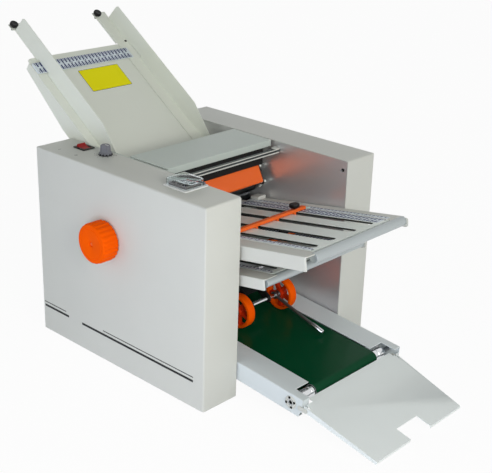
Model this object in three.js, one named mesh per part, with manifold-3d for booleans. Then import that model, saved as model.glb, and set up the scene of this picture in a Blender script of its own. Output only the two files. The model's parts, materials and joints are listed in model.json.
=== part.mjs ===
// Paper folding machine: two sheet-metal casings either side of an open throat, with a feed table,
// fold rollers, four buckle fold plates, a belt conveyor and a delivery tray.
// Millimetres, +Z up. The tray faces -Y, the feed table rises towards +Y, the handwheel is on -X.

import * as THREE from 'three';
import { mergeVertices } from 'three/addons/utils/BufferGeometryUtils.js';
import Module from 'manifold-3d';

const wasm = await Module();
wasm.setup();

// Fits shared by all pieces
const seat = 0.3;
const running = 0.3;
const overrun = 3;
const sheet = 1.5;
const largeSides = 32;
const roundSides = 18;
const smallSides = 10;
const holeSides = 12;

// Casings and what stands between them
const casing = { width: 95, depth: 525, height: 437, bend: 5, shaftPlay: 0.6 };
const throat = { width: 330 };
const frame = { plate: 3, floor: 3, sightHoleRadius: 4, sightHoleY: 13, sightHoleDrop: 22.5 };
const foot = { radius: 15, tipRadius: 12.5, height: 10, inset: 60 };
const base = { plate: 3, lift: 6, flange: 24, frontY: 245, backInset: 25 };
const inlet = { width: 28, height: 21, depth: 24, rim: 5, lip: 2, wall: 2, z: 60, pin: 2.2, pinSpread: 7 };

// Controls on top of the left casing, placed from its inner edge
const bezel = { width: 32, length: 37, rim: 3.5, lip: 2, depth: 20, wall: 2, backInset: 79, inset: 25 };
const rocker = { rise: 4, dip: 2, skirt: 6, play: 0.6, tiltDegrees: 11 };
const speedKnob = { radius: 10.5, tipRadius: 9.5, height: 19, skirt: 12.5, skirtHeight: 3, bore: 3,
  stem: 12, inset: 21.5, backInset: 147, ridge: 2 };
const counter = { width: 64, length: 65, rim: 3, rimLip: 3, block: 8, blockInset: 9, inset: 35, y: 117,
  depth: 22, pocketInset: 6 };
const lid = { height: 15, wall: 1.5, inset: 3.5, barrel: 2.6, pin: 1.2, lug: 3, lugInset: 6, ear: 1.7 };

// Fold rollers stand in a zigzag, all geared together on the right; the main one is placed from the
// front faces of the casings and from their tops
const roller = { radius: 17.6, sideGap: 5, journal: 6, pitch: 36, leanDegrees: 60, y: 292.6,
  drop: 148.8, count: 6, journalOut: 2 };
const gear = { teeth: 18, module: 2, width: 12, inset: 3, addendum: 1.55, dedendum: 2.3,
  rootShare: 0.345, tipShare: 0.12 };
const pulley = { width: 10, gap: 3, small: 12, feed: 16, conveyor: 20, main: 37.5, motor: 15 };
const driveBelt = { thickness: 3, width: 8 };
const handwheel = { radius: 42.3, depth: 39, ribs: 24, ribHeight: 1.6, faceInset: 2.2, faceDepth: 3,
  gap: 1.5, socket: 22, dimple: 5, dimpleDepth: 1.2 };
const ribShares = { rise: 0.2, fall: 0.6, foot: 0.8 };
const motor = { radius: 45, length: 160, x: 50, backInset: 85, lift: 22, footSink: 12, shaft: 6, foot: 110,
  footDepth: 76, bore: 24 };

// Feed table, in its own tilted frame: Y up the slope, Z off the sheet, origin where the sheet
// passes the top of the casings, behind the main roller
const table = { slopeDegrees: 34.6, behind: 172.4, sideGap: 2.5, up: 264, down: 205, corner: 12,
  lip: 10, flangeDeep: 43, flangeShallow: 20, taperStart: 80, bossRadius: 6, bossDepth: 20,
  bossNear: 100, bossFar: 15 };
const feedRoller = { radius: 22, halfLength: 60, shaft: 6, alongTable: 170, lift: 0.6 };
const guide = { inset: 23, height: 50, floor: 33, endUp: 352, endLean: 8, tab: 21, tabSide: 7, play: 0.5,
  tallStart: 8, midAt: 68, midHeight: 25, lowAt: 122, lowHeight: 12, down: 144, lip: 5, round: 5,
  screwBack: 10 };
const rulerBar = { low: 213, length: 32, leftInset: 1.5, rightInset: 42.5, lift: 2.4, thick: 2.2,
  padHalf: 12, padEnd: 3, slotClear: 5, slotHeight: 5 };
const thumb = { radius: 8.5, head: 8, stem: 2.5, neck: 5, tail: 7 };
const knobShares = [[0.6, 0], [1, 0.3], [1, 0.75], [0.75, 1]];

// Cover, tie bar and separator beam, placed from the main roller and from the casings' tops
const cover = { sideGap: 7, forward: 77.6, behind: 39.4, lip: 13, backLip: 6, ear: 14, pin: 3,
  pinInset: 6, pinDrop: 9, earWall: 2 };
const tieBar = { depth: 10, height: 12, forward: 17, drop: 19, chamfer: 2.5 };
const beam = { sideGap: 25, wall: 2, topForward: 52.6, topDrop: 61.5, bottomForward: 70.6,
  bottomDrop: 97.5, topReturn: 20, bottomReturn: 16, stub: 7, stubForward: 42.6, stubDrop: 81 };

// Fold plates, in their own tilted frames: Y towards the rollers, Z off the top sheet
const plate = { slope: 0.163, thick: 8, slot: 3, skin: 2.5, rise: 45.3, mouthGap: 21.6,
  gapWidth: 11, gapEnd: 16, gapMouth: 14, side: 9 };
const gapCentreShares = [-0.777, -0.335, 0.202, 0.665];
const rail = { width: 37, sideGap: 6.7, height: 29, wall: 2, mouthInset: 19, boss: 5, bossDepth: 15,
  bossFront: 40, bossMouthInset: 49 };
const upperPlate = { front: 163, stopY: 74 };
const lowerPlate = { front: 62, stopY: 100 };
const grid = { frontInset: 14.5 };
const tube = { radius: 9, bore: 7, mouth: 18, inset: 4.5, leftReach: 12, rightInset: 2 };
const crossBar = { depth: 14, height: 10, mouthInset: 39 };
const block = { width: 14, depth: 22, height: 11, mouthInset: 31 };
const stop = { endInset: 6, depth: 14, height: 8, lift: 0.5, finger: 6, fingerDepth: 8, pointer: 14,
  pointerWidth: 7, pointerHeight: 1.6, knobInset: 37, bore: 3 };
const stopKnob = { radius: 9.2, height: 10, waist: 6, stem: 2.6, stemDown: 5, neck: 2 };
const rearPlate = { mouthGap: 8, length: 212, sideHeight: 20, cheek: 9, start: 14, drop: 4, stopY: 150,
  bossInset: 14, stopInset: 9 };

// Conveyor, in its own tilted frame: Y towards the rollers, Z off the rail tops
const conveyor = { slopeDegrees: 5, z: 78, railHeight: 42, railFoot: 14, railWall: 2, sideGap: 3,
  frontOver: 29, backOver: 17, notchInset: 8, strip: 24, boss: 8, bossDepth: 21, bossNear: 30,
  bossBackInset: 20, cornerBack: 9, cornerRise: 27 };
const belt = { sideGap: 62, thickness: 1.5, drop: 2.7 };
const beltRoller = { radius: 14, frontY: -147, backY: 215, cap: 11, capSink: 3, capGap: 1, journal: 5 };
const bearing = { radius: 14, thickness: 2.5, screw: 2.4, screwCircle: 9.5, screwHead: 1, screws: 4,
  screwSides: 6 };
const bed = { wall: 2, under: 0.5, leg: 24, frontGap: 23, backGap: 20 };
const lug = { width: 3, inset: 3.6, radius: 5, pin: 2.5, forward: 10.3, drop: 18.8 };

// Delivery tray, in its own tilted frame: origin at its back edge, above the hinge and behind it
const tray = { slopeDegrees: 12.76, behind: 5.3, above: 8.6, length: 184, rightInset: 17, taper: 23,
  notchLeft: 53, notchRight: 15, notchDepth: 36, flangeBack: 12, flangeFront: 7, lip: 6,
  lugClear: 0.5, lugNotch: 13 };

// Press wheels riding on the belt
const press = { rodY: 165, rodShare: 0.5141, rodRadius: 6, armTop: 11, armLow: 9, axle: 5,
  axleOver: 3, y: 101 };
const acrossBeltShares = { leftWheel: -0.525, rightWheel: 0.828, armLeft: -0.2, armRight: 0.4, guideRod: 0.62 };
const pressWheel = { radius: 37.3, width: 20, rimDepth: 6.5, hub: 10, web: 9, spokes: 5, spoke: 9,
  bore: 0.35, ride: 0.6 };
const guideRod = { eye: 9, eyeWidth: 6, length: 147.5, slopeDegrees: 16.1, radius: 2.5,
  sleeve: 4, sleeveLength: 32 };

const degrees = Math.PI / 180;

// Solids from three.js geometries, with booleans between them
function toSolid(geometry) {
  const bare = geometry.clone();
  bare.deleteAttribute('normal');
  bare.deleteAttribute('uv');
  const merged = mergeVertices(bare);
  const mesh = new wasm.Mesh({
    numProp: 3,
    vertProperties: Float32Array.from(merged.attributes.position.array),
    triVerts: Uint32Array.from(merged.index.array),
  });
  return new wasm.Manifold(mesh);
}

function toGeometry(solid) {
  const mesh = solid.getMesh();
  const geometry = new THREE.BufferGeometry();
  geometry.setAttribute('position', new THREE.BufferAttribute(mesh.vertProperties, 3));
  geometry.setIndex(new THREE.BufferAttribute(mesh.triVerts, 1));
  geometry.computeVertexNormals();
  return geometry;
}

function join(...solids) {
  return solids.reduce((whole, solid) => whole.add(solid));
}

function cut(solid, ...tools) {
  return tools.reduce((rest, tool) => rest.subtract(tool), solid);
}

function shapeOf(points) {
  return new THREE.Shape(points.map(([u, v]) => new THREE.Vector2(u, v)));
}

function prism(points, holes, length, matrix) {
  const shape = shapeOf(points);
  shape.holes = holes.map((hole) => new THREE.Path(hole.map(([u, v]) => new THREE.Vector2(u, v))));
  const geometry = new THREE.ExtrudeGeometry(shape, { depth: length, bevelEnabled: false });
  geometry.applyMatrix4(matrix);
  return toSolid(geometry);
}

function axes(u, v, w, origin) {
  return new THREE.Matrix4().makeBasis(u, v, w).setPosition(origin);
}

const unitX = new THREE.Vector3(1, 0, 0);
const unitY = new THREE.Vector3(0, 1, 0);
const unitZ = new THREE.Vector3(0, 0, 1);

// An outline in Y and Z, drawn out along X
function alongX(points, x0, x1, holes = []) {
  return prism(points, holes, x1 - x0, axes(unitY, unitZ, unitX, new THREE.Vector3(x0, 0, 0)));
}

// An outline in X and Z, drawn out along Y
function alongY(points, y0, y1, holes = []) {
  const back = unitY.clone().negate();
  return prism(points, holes, y1 - y0, axes(unitX, unitZ, back, new THREE.Vector3(0, y1, 0)));
}

// An outline in X and Y, drawn out along Z
function alongZ(points, z0, z1, holes = []) {
  return prism(points, holes, z1 - z0, axes(unitX, unitY, unitZ, new THREE.Vector3(0, 0, z0)));
}

function box(x0, x1, y0, y1, z0, z1) {
  return alongZ([[x0, y0], [x1, y0], [x1, y1], [x0, y1]], z0, z1);
}

function circle(u, v, radius, sides = roundSides) {
  return Array.from({ length: sides }, (_, i) => {
    const angle = (i + 0.5) * 2 * Math.PI / sides;
    return [u + radius * Math.cos(angle), v + radius * Math.sin(angle)];
  });
}

// A circle whose flats, not its corners, lie at the radius
function circleOver(u, v, radius, sides = roundSides) {
  return circle(u, v, radius / Math.cos(Math.PI / sides), sides);
}

function boreX(y, z, radius, x0, x1, sides = roundSides) {
  return alongX(circleOver(y, z, radius, sides), x0, x1);
}

function boreZ(x, y, radius, z0, z1, sides = roundSides) {
  return alongZ(circleOver(x, y, radius, sides), z0, z1);
}

function rodX(y, z, radius, x0, x1, sides = roundSides) {
  return alongX(circle(y, z, radius, sides), x0, x1);
}

function rodY(x, z, radius, y0, y1, sides = roundSides) {
  return alongY(circle(x, z, radius, sides), y0, y1);
}

// A turned piece: a closed profile of radius and height, about Z
function turned(profile, x, y, sides = roundSides) {
  const points = [...profile, profile[0]].map(([r, h]) => new THREE.Vector2(r, h));
  const geometry = new THREE.LatheGeometry(points, sides);
  geometry.rotateX(Math.PI / 2);
  geometry.translate(x, y, 0);
  return toSolid(geometry);
}

// A rectangle whose named corners are rounded; corners run anticlockwise from low u, low v
function roundedBox(u0, u1, v0, v1, radii, steps = 3) {
  const corners = [[u0, v0, 1, 1], [u1, v0, -1, 1], [u1, v1, -1, -1], [u0, v1, 1, -1]];
  return corners.flatMap(([u, v, su, sv], i) => {
    if (radii[i] === 0) return [[u, v]];
    return Array.from({ length: steps + 1 }, (_, k) => {
      const angle = (2 + i + k / steps) * Math.PI / 2;
      const r = radii[i];
      return [u + su * r + r * Math.cos(angle), v + sv * r + r * Math.sin(angle)];
    });
  });
}

// The outline of a bent sheet that follows a line of points, with its thickness on the left
function bentSheet(points, thickness) {
  const normals = points.slice(1).map(([u, v], i) => {
    const [pu, pv] = points[i];
    const length = Math.hypot(u - pu, v - pv);
    return [-(v - pv) / length, (u - pu) / length];
  });
  const inner = points.map(([u, v], i) => {
    const before = normals[Math.max(i - 1, 0)];
    const after = normals[Math.min(i, normals.length - 1)];
    const scale = thickness / (1 + before[0] * after[0] + before[1] * after[1]);
    return [u + (before[0] + after[0]) * scale, v + (before[1] + after[1]) * scale];
  });
  return [...points, ...inner.reverse()];
}

// The outline round two circles, as a belt or a link lies
function aroundTwo([u0, v0], r0, [u1, v1], r1, steps = 9) {
  const lean = Math.atan2(v1 - v0, u1 - u0);
  const spread = Math.acos((r0 - r1) / Math.hypot(u1 - u0, v1 - v0));
  const arc = (u, v, r, from, to) => Array.from({ length: steps + 1 }, (_, k) => {
    const angle = from + (to - from) * k / steps;
    return [u + r * Math.cos(angle), v + r * Math.sin(angle)];
  });
  const first = arc(u0, v0, r0, lean + spread, lean + 2 * Math.PI - spread);
  const second = arc(u1, v1, r1, lean - spread, lean + spread);
  return [...first, ...second];
}

function mirrorX(points) {
  return points.map(([u, v]) => [-u, v]).reverse();
}

// Materials, with the colours that the machine shows
const finish = (color, roughness, metalness) =>
  new THREE.MeshStandardMaterial({ color, roughness, metalness });
const paint = finish(0xd8dad4, 0.5, 0.1);
const greyPaint = finish(0xc2c9c6, 0.5, 0.1);
const steel = finish(0xa9adb0, 0.25, 0.9);
const chrome = finish(0xd6d8da, 0.12, 1);
const orange = finish(0xff5f0f, 0.45, 0);
const black = finish(0x161616, 0.45, 0);
const red = finish(0xc41414, 0.35, 0);
const grey = finish(0x8d9194, 0.5, 0);
const clear = finish(0xdfe6e8, 0.1, 0);
const rubber = finish(0x2a2a2c, 0.85, 0);
const beltGreen = finish(0x06401f, 0.5, 0);
const motorGrey = finish(0x4c5256, 0.6, 0.3);

function piece(group, name, solid, material) {
  const mesh = new THREE.Mesh(toGeometry(solid), material);
  mesh.name = name;
  group.add(mesh);
  return mesh;
}

const machine = new THREE.Group();
const innerX = throat.width / 2;
const rollerHalf = innerX - roller.sideGap;
const tableHalf = innerX - table.sideGap;
const coverHalf = innerX - cover.sideGap;
const beamHalf = innerX - beam.sideGap;
const railOut = innerX - rail.sideGap;
const railIn = railOut - rail.width;
const plateHalf = railIn - seat;
const conveyorHalf = innerX - conveyor.sideGap;
const beltHalf = conveyorHalf - belt.sideGap;
const trayRight = conveyorHalf - tray.rightInset;
const tableY = roller.y + table.behind;
const rollerZ = casing.height - roller.drop;
const mouthY = roller.y - plate.mouthGap;
const coverBack = roller.y + cover.behind;
const stopKnobX = plateHalf - stop.knobInset;
const outerX = innerX + casing.width;
const sides = [['left', -1], ['right', 1]];

// A range of X given outwards from the machine's middle, on one side
function span(side, near, far) {
  return side < 0 ? [-far, -near] : [near, far];
}

// Roller axes, from the top one down; the second is the one that the handwheel turns
const rollerAxes = Array.from({ length: roller.count }, (_, i) => {
  const lean = roller.leanDegrees * degrees;
  const forward = i % 2 === 0 ? roller.pitch * Math.cos(lean) : 0;
  return [roller.y - forward, rollerZ + roller.pitch * Math.sin(lean) * (1 - i)];
});

// The feed roller lies on the table, square to its slope
const tableLean = table.slopeDegrees * degrees;
function onTable(along, off) {
  return [tableY + along * Math.cos(tableLean) - off * Math.sin(tableLean),
    casing.height + along * Math.sin(tableLean) + off * Math.cos(tableLean)];
}
const feedAxis = onTable(-feedRoller.alongTable, feedRoller.radius + feedRoller.lift);

// Places on the conveyor, in the machine's frame
const conveyorLean = conveyor.slopeDegrees * degrees;
const beltAxisZ = -belt.drop - belt.thickness - seat - beltRoller.radius;
function onConveyor(along, off) {
  return [along * Math.cos(conveyorLean) - off * Math.sin(conveyorLean),
    conveyor.z + along * Math.sin(conveyorLean) + off * Math.cos(conveyorLean)];
}
const conveyorBackAxis = onConveyor(beltRoller.backY, beltAxisZ);

// A place in the machine's frame, as a tilted group with its origin elsewhere sees it
function intoTilt([y, z], [originY, originZ], lean) {
  const dy = y - originY;
  const dz = z - originZ;
  return [dy * Math.cos(lean) + dz * Math.sin(lean), dz * Math.cos(lean) - dy * Math.sin(lean)];
}

const trayHinge = onConveyor(beltRoller.frontY - conveyor.frontOver - lug.forward, -lug.drop);

// The press arm's cross rod lies between the belt and the lower fold plate
const plateLean = Math.atan(plate.slope);
const beltUnderRod = conveyor.z + press.rodY * Math.tan(conveyorLean) - belt.drop / Math.cos(conveyorLean);
const plateOverRod = rollerAxes[3][1] + plate.rise - press.rodY * plate.slope
  - plate.thick / Math.cos(plateLean);
const pressRod = [press.rodY, beltUnderRod + press.rodShare * (plateOverRod - beltUnderRod)];

const motorSeat = base.lift + base.plate + seat;
const motorY = casing.depth - motor.backInset;
const motorAxis = [motorY, motorSeat + motor.lift + motor.radius];
const coverPin = [coverBack - cover.pinInset, casing.height - cover.pinDrop];

const bezelX = innerX + bezel.inset;
const bezelY = casing.depth - bezel.backInset;
const speedKnobX = innerX + speedKnob.inset;
const speedKnobY = casing.depth - speedKnob.backInset;
const counterX = innerX + counter.inset;

// X stations of the drives outside the side plates
const plateOut = innerX + frame.plate;
const gearNear = plateOut + gear.inset;
const gearFar = gearNear + gear.width;
const pulleyNear = gearFar + pulley.gap;
const pulleyFar = pulleyNear + pulley.width;
const mainNear = plateOut + roller.journalOut + pulley.gap;
const mainFar = mainNear + pulley.width;

function addCasings() {
  for (const [label, side] of sides) {
    const [x0, x1] = span(side, innerX, outerX);
    const openSide = side < 0 ? x1 + overrun : x0 - overrun;
    const acrossX = (inset) => (side < 0 ? [x0 + inset, openSide] : [openSide, x1 - inset]);
    const skinXZ = (inset, radius, bottom) => roundedBox(...acrossX(inset), bottom,
      casing.height - inset, side < 0 ? [0, 0, 0, radius] : [0, 0, radius, 0]);
    const skinXY = (inset, radius) => roundedBox(...acrossX(inset), inset, casing.depth - inset,
      side < 0 ? [radius, 0, 0, radius] : [0, radius, radius, 0]);
    const skinYZ = (inset, radius, bottom) =>
      roundedBox(inset, casing.depth - inset, bottom, casing.height - inset, [0, 0, radius, radius]);
    const body = (inset, radius, bottom) =>
      alongY(skinXZ(inset, radius, bottom), 0, casing.depth)
        .intersect(alongZ(skinXY(inset, radius), bottom, casing.height))
        .intersect(alongX(skinYZ(inset, radius, bottom), x0 - overrun, x1 + overrun));
    const outer = body(0, casing.bend, 0)
      .intersect(box(x0, x1, 0, casing.depth, 0, casing.height));
    let shell = cut(outer, body(sheet, casing.bend - sheet, -overrun));
    if (side < 0) {
      shell = cut(shell,
        box(...holeX(bezelX, bezel.width / 2 - bezel.rim), ...holeX(-bezelY, bezel.length / 2 - bezel.rim),
          casing.height - casing.bend, casing.height + overrun),
        boreZ(-speedKnobX, speedKnobY, speedKnob.bore + running, casing.height - casing.bend,
          casing.height + overrun, smallSides),
        box(...holeX(counterX, counter.width / 2 - counter.pocketInset),
          ...holeX(-counter.y, counter.length / 2 - counter.pocketInset),
          casing.height - casing.bend, casing.height + overrun),
        boreX(...rollerAxes[1], roller.journal + casing.shaftPlay, x0 - overrun, x0 + casing.bend),
        box(...holeX(innerX + casing.width / 2, inlet.width / 2 + seat),
          casing.depth - casing.bend, casing.depth + overrun,
          inlet.z - inlet.height / 2 - seat, inlet.z + inlet.height / 2 + seat));
    }
    piece(machine, `${label}_casing`, shell, paint);
  }
}

// A low and a high value either side of a place on the negative side
function holeX(distance, half) {
  return [-distance - half, -distance + half];
}

function addSideFrames() {
  const y0 = sheet + seat;
  const y1 = casing.depth - sheet - seat;
  const z1 = casing.height - sheet - seat;
  for (const [label, side] of sides) {
    const [x0, x1] = span(side, innerX, plateOut);
    const [f0, f1] = span(side, innerX, outerX - sheet - seat);
    const hole = ([y, z], radius) => boreX(y, z, radius, x0 - overrun, x1 + overrun, holeSides);
    const face = roundedBox(y0, y1, 0, z1, [0, 0, casing.bend, casing.bend]);
    const wall = cut(alongX(face, x0, x1),
      ...rollerAxes.map((axis) => hole(axis, roller.journal + running)),
      hole(feedAxis, feedRoller.shaft + running),
      hole(conveyorBackAxis, beltRoller.journal + running),
      hole(coverPin, cover.pin + running),
      hole(pressRod, press.rodRadius + running),
      hole([frame.sightHoleY, casing.height - frame.sightHoleDrop], frame.sightHoleRadius));
    const drilled = side < 0 ? cut(wall, hole(motorAxis, motor.shaft + running)) : wall;
    const corners = side < 0 ? [casing.bend, 0, 0, casing.bend] : [0, casing.bend, casing.bend, 0];
    const floor = alongZ(roundedBox(f0, f1, y0, y1, corners), 0, frame.floor);
    piece(machine, `${label}_side_frame`, join(drilled, floor), steel);
  }
}

function addFeetAndBase() {
  const middle = innerX + casing.width / 2;
  const footY = [['front', foot.inset], ['rear', casing.depth - foot.inset]];
  for (const [label, side] of sides) {
    for (const [where, y] of footY) {
      const profile = [[0, -seat - foot.height], [foot.tipRadius, -seat - foot.height],
        [foot.radius, -seat], [0, -seat]];
      piece(machine, `foot_${where}_${label}`, turned(profile, side * middle, y, holeSides), rubber);
    }
  }
  const half = innerX - seat;
  const line = [[half, base.lift + base.flange], [half, base.lift], [-half, base.lift],
    [-half, base.lift + base.flange]];
  const pan = alongY(bentSheet(line.reverse(), base.plate), base.frontY, casing.depth - base.backInset);
  piece(machine, 'base_plate', pan, greyPaint);
}

function addInlet() {
  const x = -(innerX + casing.width / 2);
  const halfW = inlet.width / 2;
  const halfH = inlet.height / 2;
  const inside = inlet.wall;
  const body = join(
    box(x - halfW, x + halfW, casing.depth - inlet.depth, casing.depth + seat + inlet.lip,
      inlet.z - halfH, inlet.z + halfH),
    box(x - halfW - inlet.rim, x + halfW + inlet.rim, casing.depth + seat, casing.depth + seat + inlet.lip,
      inlet.z - halfH - inlet.rim / 2, inlet.z + halfH + inlet.rim / 2));
  const socket = box(x - halfW + inside, x + halfW - inside, casing.depth - inlet.depth + 2 * inside,
    casing.depth + overrun + inlet.lip, inlet.z - halfH + inside, inlet.z + halfH - inside);
  const pins = [-1, 0, 1].map((i) => box(x + i * inlet.pinSpread - inlet.pin / 2,
    x + i * inlet.pinSpread + inlet.pin / 2, casing.depth - inlet.depth + inside,
    casing.depth - inlet.rim, inlet.z - inlet.pin, inlet.z + inlet.pin));
  piece(machine, 'power_inlet', join(cut(body, socket), ...pins), black);
}

function addSwitch() {
  const top = casing.height + seat;
  const halfW = bezel.width / 2;
  const halfL = bezel.length / 2;
  const bodyW = halfW - bezel.rim - seat;
  const bodyL = halfL - bezel.rim - seat;
  const body = join(
    box(-bezelX - halfW, -bezelX + halfW, bezelY - halfL, bezelY + halfL, top, top + bezel.lip),
    box(-bezelX - bodyW, -bezelX + bodyW, bezelY - bodyL, bezelY + bodyL, top - bezel.depth,
      top + bezel.lip));
  const pocketW = bodyW - bezel.wall;
  const pocketL = bodyL - bezel.wall;
  const pocket = box(-bezelX - pocketW, -bezelX + pocketW, bezelY - pocketL, bezelY + pocketL,
    top - bezel.depth + bezel.wall, top + overrun + bezel.lip);
  piece(machine, 'switch_bezel', cut(body, pocket), black);

  const reach = pocketL - rocker.play - seat;
  const under = reach - rocker.dip;
  const outline = [[-under, -rocker.skirt], [under, -rocker.skirt], [reach, 0], [reach, rocker.rise],
    [0, rocker.dip], [-reach, rocker.rise], [-reach, 0]];
  const pivot = new THREE.Group();
  pivot.position.set(-bezelX, bezelY, top + bezel.lip - rocker.dip);
  pivot.rotation.x = rocker.tiltDegrees * degrees;
  machine.add(pivot);
  piece(pivot, 'switch_rocker', alongX(outline, -pocketW + seat, pocketW - seat), red);
}

function addSpeedKnob() {
  const z = casing.height + seat;
  const profile = [[0, z - speedKnob.stem], [speedKnob.bore, z - speedKnob.stem], [speedKnob.bore, z],
    [speedKnob.skirt, z], [speedKnob.skirt, z + speedKnob.skirtHeight / 2],
    [speedKnob.radius, z + speedKnob.skirtHeight], [speedKnob.tipRadius, z + speedKnob.height],
    [0, z + speedKnob.height]];
  const body = turned(profile, -speedKnobX, speedKnobY);
  const ridge = box(-speedKnobX - speedKnob.ridge / 2, -speedKnobX + speedKnob.ridge / 2,
    speedKnobY - speedKnob.tipRadius, speedKnobY, z + speedKnob.height - speedKnob.ridge,
    z + speedKnob.height + speedKnob.ridge / 2);
  piece(machine, 'speed_knob', join(body, ridge), grey);
}

function addCounter() {
  const z = casing.height + seat;
  const x0 = -counterX - counter.width / 2;
  const x1 = -counterX + counter.width / 2;
  const y0 = counter.y - counter.length / 2;
  const y1 = counter.y + counter.length / 2;
  const deep = counter.pocketInset + seat;
  const lidX1 = x1 - lid.inset - 2 * lid.barrel;
  const barrelX = x1 - lid.inset - lid.barrel;
  const barrelZ = z + counter.rim + lid.barrel + seat;
  const lugs = [y0 + lid.lugInset, y1 - lid.lugInset - lid.lug].map((y) =>
    box(barrelX - lid.ear, barrelX + lid.barrel, y, y + lid.lug, z, barrelZ + lid.ear));
  const body = join(
    box(x0, x1, y0, y1, z, z + counter.rim),
    box(x0 + deep, x1 - deep, y0 + deep, y1 - deep, z - counter.depth, z + counter.rim),
    box(x0 + counter.blockInset, lidX1 - counter.rimLip - lid.wall, y0 + counter.blockInset,
      y1 - counter.blockInset, z, z + counter.block),
    ...lugs,
    rodY(barrelX, barrelZ, lid.pin, y0 + lid.lugInset, y1 - lid.lugInset, smallSides));
  piece(machine, 'counter_body', body, grey);

  const lidX0 = x0 + lid.inset;
  const lidY0 = y0 + lid.inset;
  const lidY1 = y1 - lid.inset;
  const lidZ0 = z + counter.rim + seat;
  const lidZ1 = lidZ0 + lid.height;
  const cap = cut(box(lidX0, lidX1, lidY0, lidY1, lidZ0, lidZ1),
    box(lidX0 + lid.wall, lidX1 - lid.wall, lidY0 + lid.wall, lidY1 - lid.wall, lidZ0 - overrun,
      lidZ1 - lid.wall));
  const barrelY0 = y0 + lid.lugInset + lid.lug + seat;
  const barrelY1 = y1 - lid.lugInset - lid.lug - seat;
  const barrel = join(
    rodY(barrelX, barrelZ, lid.barrel, barrelY0, barrelY1, smallSides),
    box(lidX1 - lid.wall, barrelX, barrelY0, barrelY1, barrelZ - lid.barrel / 2, barrelZ + lid.barrel / 2));
  const bored = cut(join(cap, barrel),
    alongY(circleOver(barrelX, barrelZ, lid.pin + running, smallSides), barrelY0 - overrun,
      barrelY1 + overrun));
  piece(machine, 'counter_cover', bored, clear);
}

function addTopCover() {
  const bottom = casing.height;
  const top = bottom + sheet;
  const frontY = roller.y - cover.forward;
  const line = [[coverBack, bottom - cover.backLip], [coverBack, top], [frontY, top],
    [frontY, bottom - cover.lip]];
  const skin = alongX(bentSheet(line, sheet), -coverHalf, coverHalf);
  const ears = sides.map(([, side]) => {
    const [x0, x1] = span(side, coverHalf - cover.earWall, coverHalf);
    return join(
      box(x0, x1, coverBack - cover.ear, coverBack, coverPin[1] - 2 * cover.pin, bottom + sheet / 2),
      rodX(...coverPin, cover.pin, ...span(side, coverHalf - cover.earWall, plateOut - sheet / 2),
        smallSides));
  });
  piece(machine, 'top_cover', join(skin, ...ears), greyPaint);

  const halfD = tieBar.depth / 2;
  const halfH = tieBar.height / 2;
  const barY = frontY - tieBar.forward;
  const barZ = bottom - tieBar.drop;
  const section = roundedBox(barY - halfD, barY + halfD, barZ - halfH, barZ + halfH,
    Array(4).fill(tieBar.chamfer), 2);
  piece(machine, 'front_tie_bar', alongX(section, -innerX + seat, innerX - seat), chrome);
}

function addSeparatorBeam() {
  const place = (forward, drop) => [roller.y - forward, casing.height - drop];
  const line = [place(beam.topForward - beam.topReturn, beam.topDrop),
    place(beam.topForward, beam.topDrop), place(beam.bottomForward, beam.bottomDrop),
    place(beam.bottomForward - beam.bottomReturn, beam.bottomDrop)];
  const skin = alongX(bentSheet(line, beam.wall), -beamHalf, beamHalf);
  const cheek = [...line].reverse();
  const ends = sides.map(([, side]) => join(
    alongX(cheek, ...span(side, beamHalf - beam.wall, beamHalf)),
    rodX(...place(beam.stubForward, beam.stubDrop), beam.stub,
      ...span(side, beamHalf - beam.wall, innerX - seat))));
  piece(machine, 'separator_beam', join(skin, ...ends), orange);
}

function gearOutline([y, z], phase) {
  const pitch = gear.module * gear.teeth / 2;
  const tip = pitch + gear.addendum;
  const root = pitch - gear.dedendum;
  const step = 2 * Math.PI / gear.teeth;
  const polar = (radius, angle) => [y + radius * Math.cos(angle), z + radius * Math.sin(angle)];
  return Array.from({ length: gear.teeth }, (_, i) => {
    const middle = phase + i * step;
    return [polar(root, middle - gear.rootShare * step), polar(tip, middle - gear.tipShare * step),
      polar(tip, middle + gear.tipShare * step), polar(root, middle + gear.rootShare * step)];
  }).flat();
}

// Tooth phases that put a tooth of one roller's gear in a gap of the next
function gearPhases() {
  const step = 2 * Math.PI / gear.teeth;
  const phases = [0];
  for (let i = 1; i < roller.count; i += 1) {
    const [y0, z0] = rollerAxes[i - 1];
    const [y1, z1] = rollerAxes[i];
    const towards = Math.atan2(z1 - z0, y1 - y0);
    const toothOffset = towards - phases[i - 1];
    phases.push(towards + Math.PI + step / 2 + toothOffset);
  }
  return phases;
}

function addRollers() {
  const phases = gearPhases();
  const journalEnd = plateOut + roller.journalOut;
  rollerAxes.forEach((axis, i) => {
    const isMain = i === 1;
    const hasPulley = i === 0 || i === roller.count - 1;
    const leftEnd = isMain ? outerX + handwheel.gap + handwheel.socket - seat : journalEnd;
    const rightEnd = hasPulley ? pulleyFar : gearFar + seat;
    const solids = [
      rodX(...axis, roller.radius, -rollerHalf, rollerHalf),
      rodX(...axis, roller.journal, -leftEnd, rightEnd, holeSides),
      alongX(gearOutline(axis, phases[i]), gearNear, gearFar),
    ];
    if (hasPulley) solids.push(rodX(...axis, pulley.small, pulleyNear, pulleyFar));
    if (isMain) solids.push(rodX(...axis, pulley.main, -mainFar, -mainNear, largeSides));
    piece(machine, `fold_roller_${i + 1}`, join(...solids), steel);
  });

  const [feedY, feedZ] = feedAxis;
  piece(machine, 'feed_roller', join(
    rodX(feedY, feedZ, feedRoller.shaft, -journalEnd, pulleyFar, holeSides),
    rodX(feedY, feedZ, pulley.feed, pulleyNear, pulleyFar),
    rodX(feedY, feedZ, feedRoller.radius, -feedRoller.halfLength, feedRoller.halfLength, largeSides)),
  rubber);
}

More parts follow.
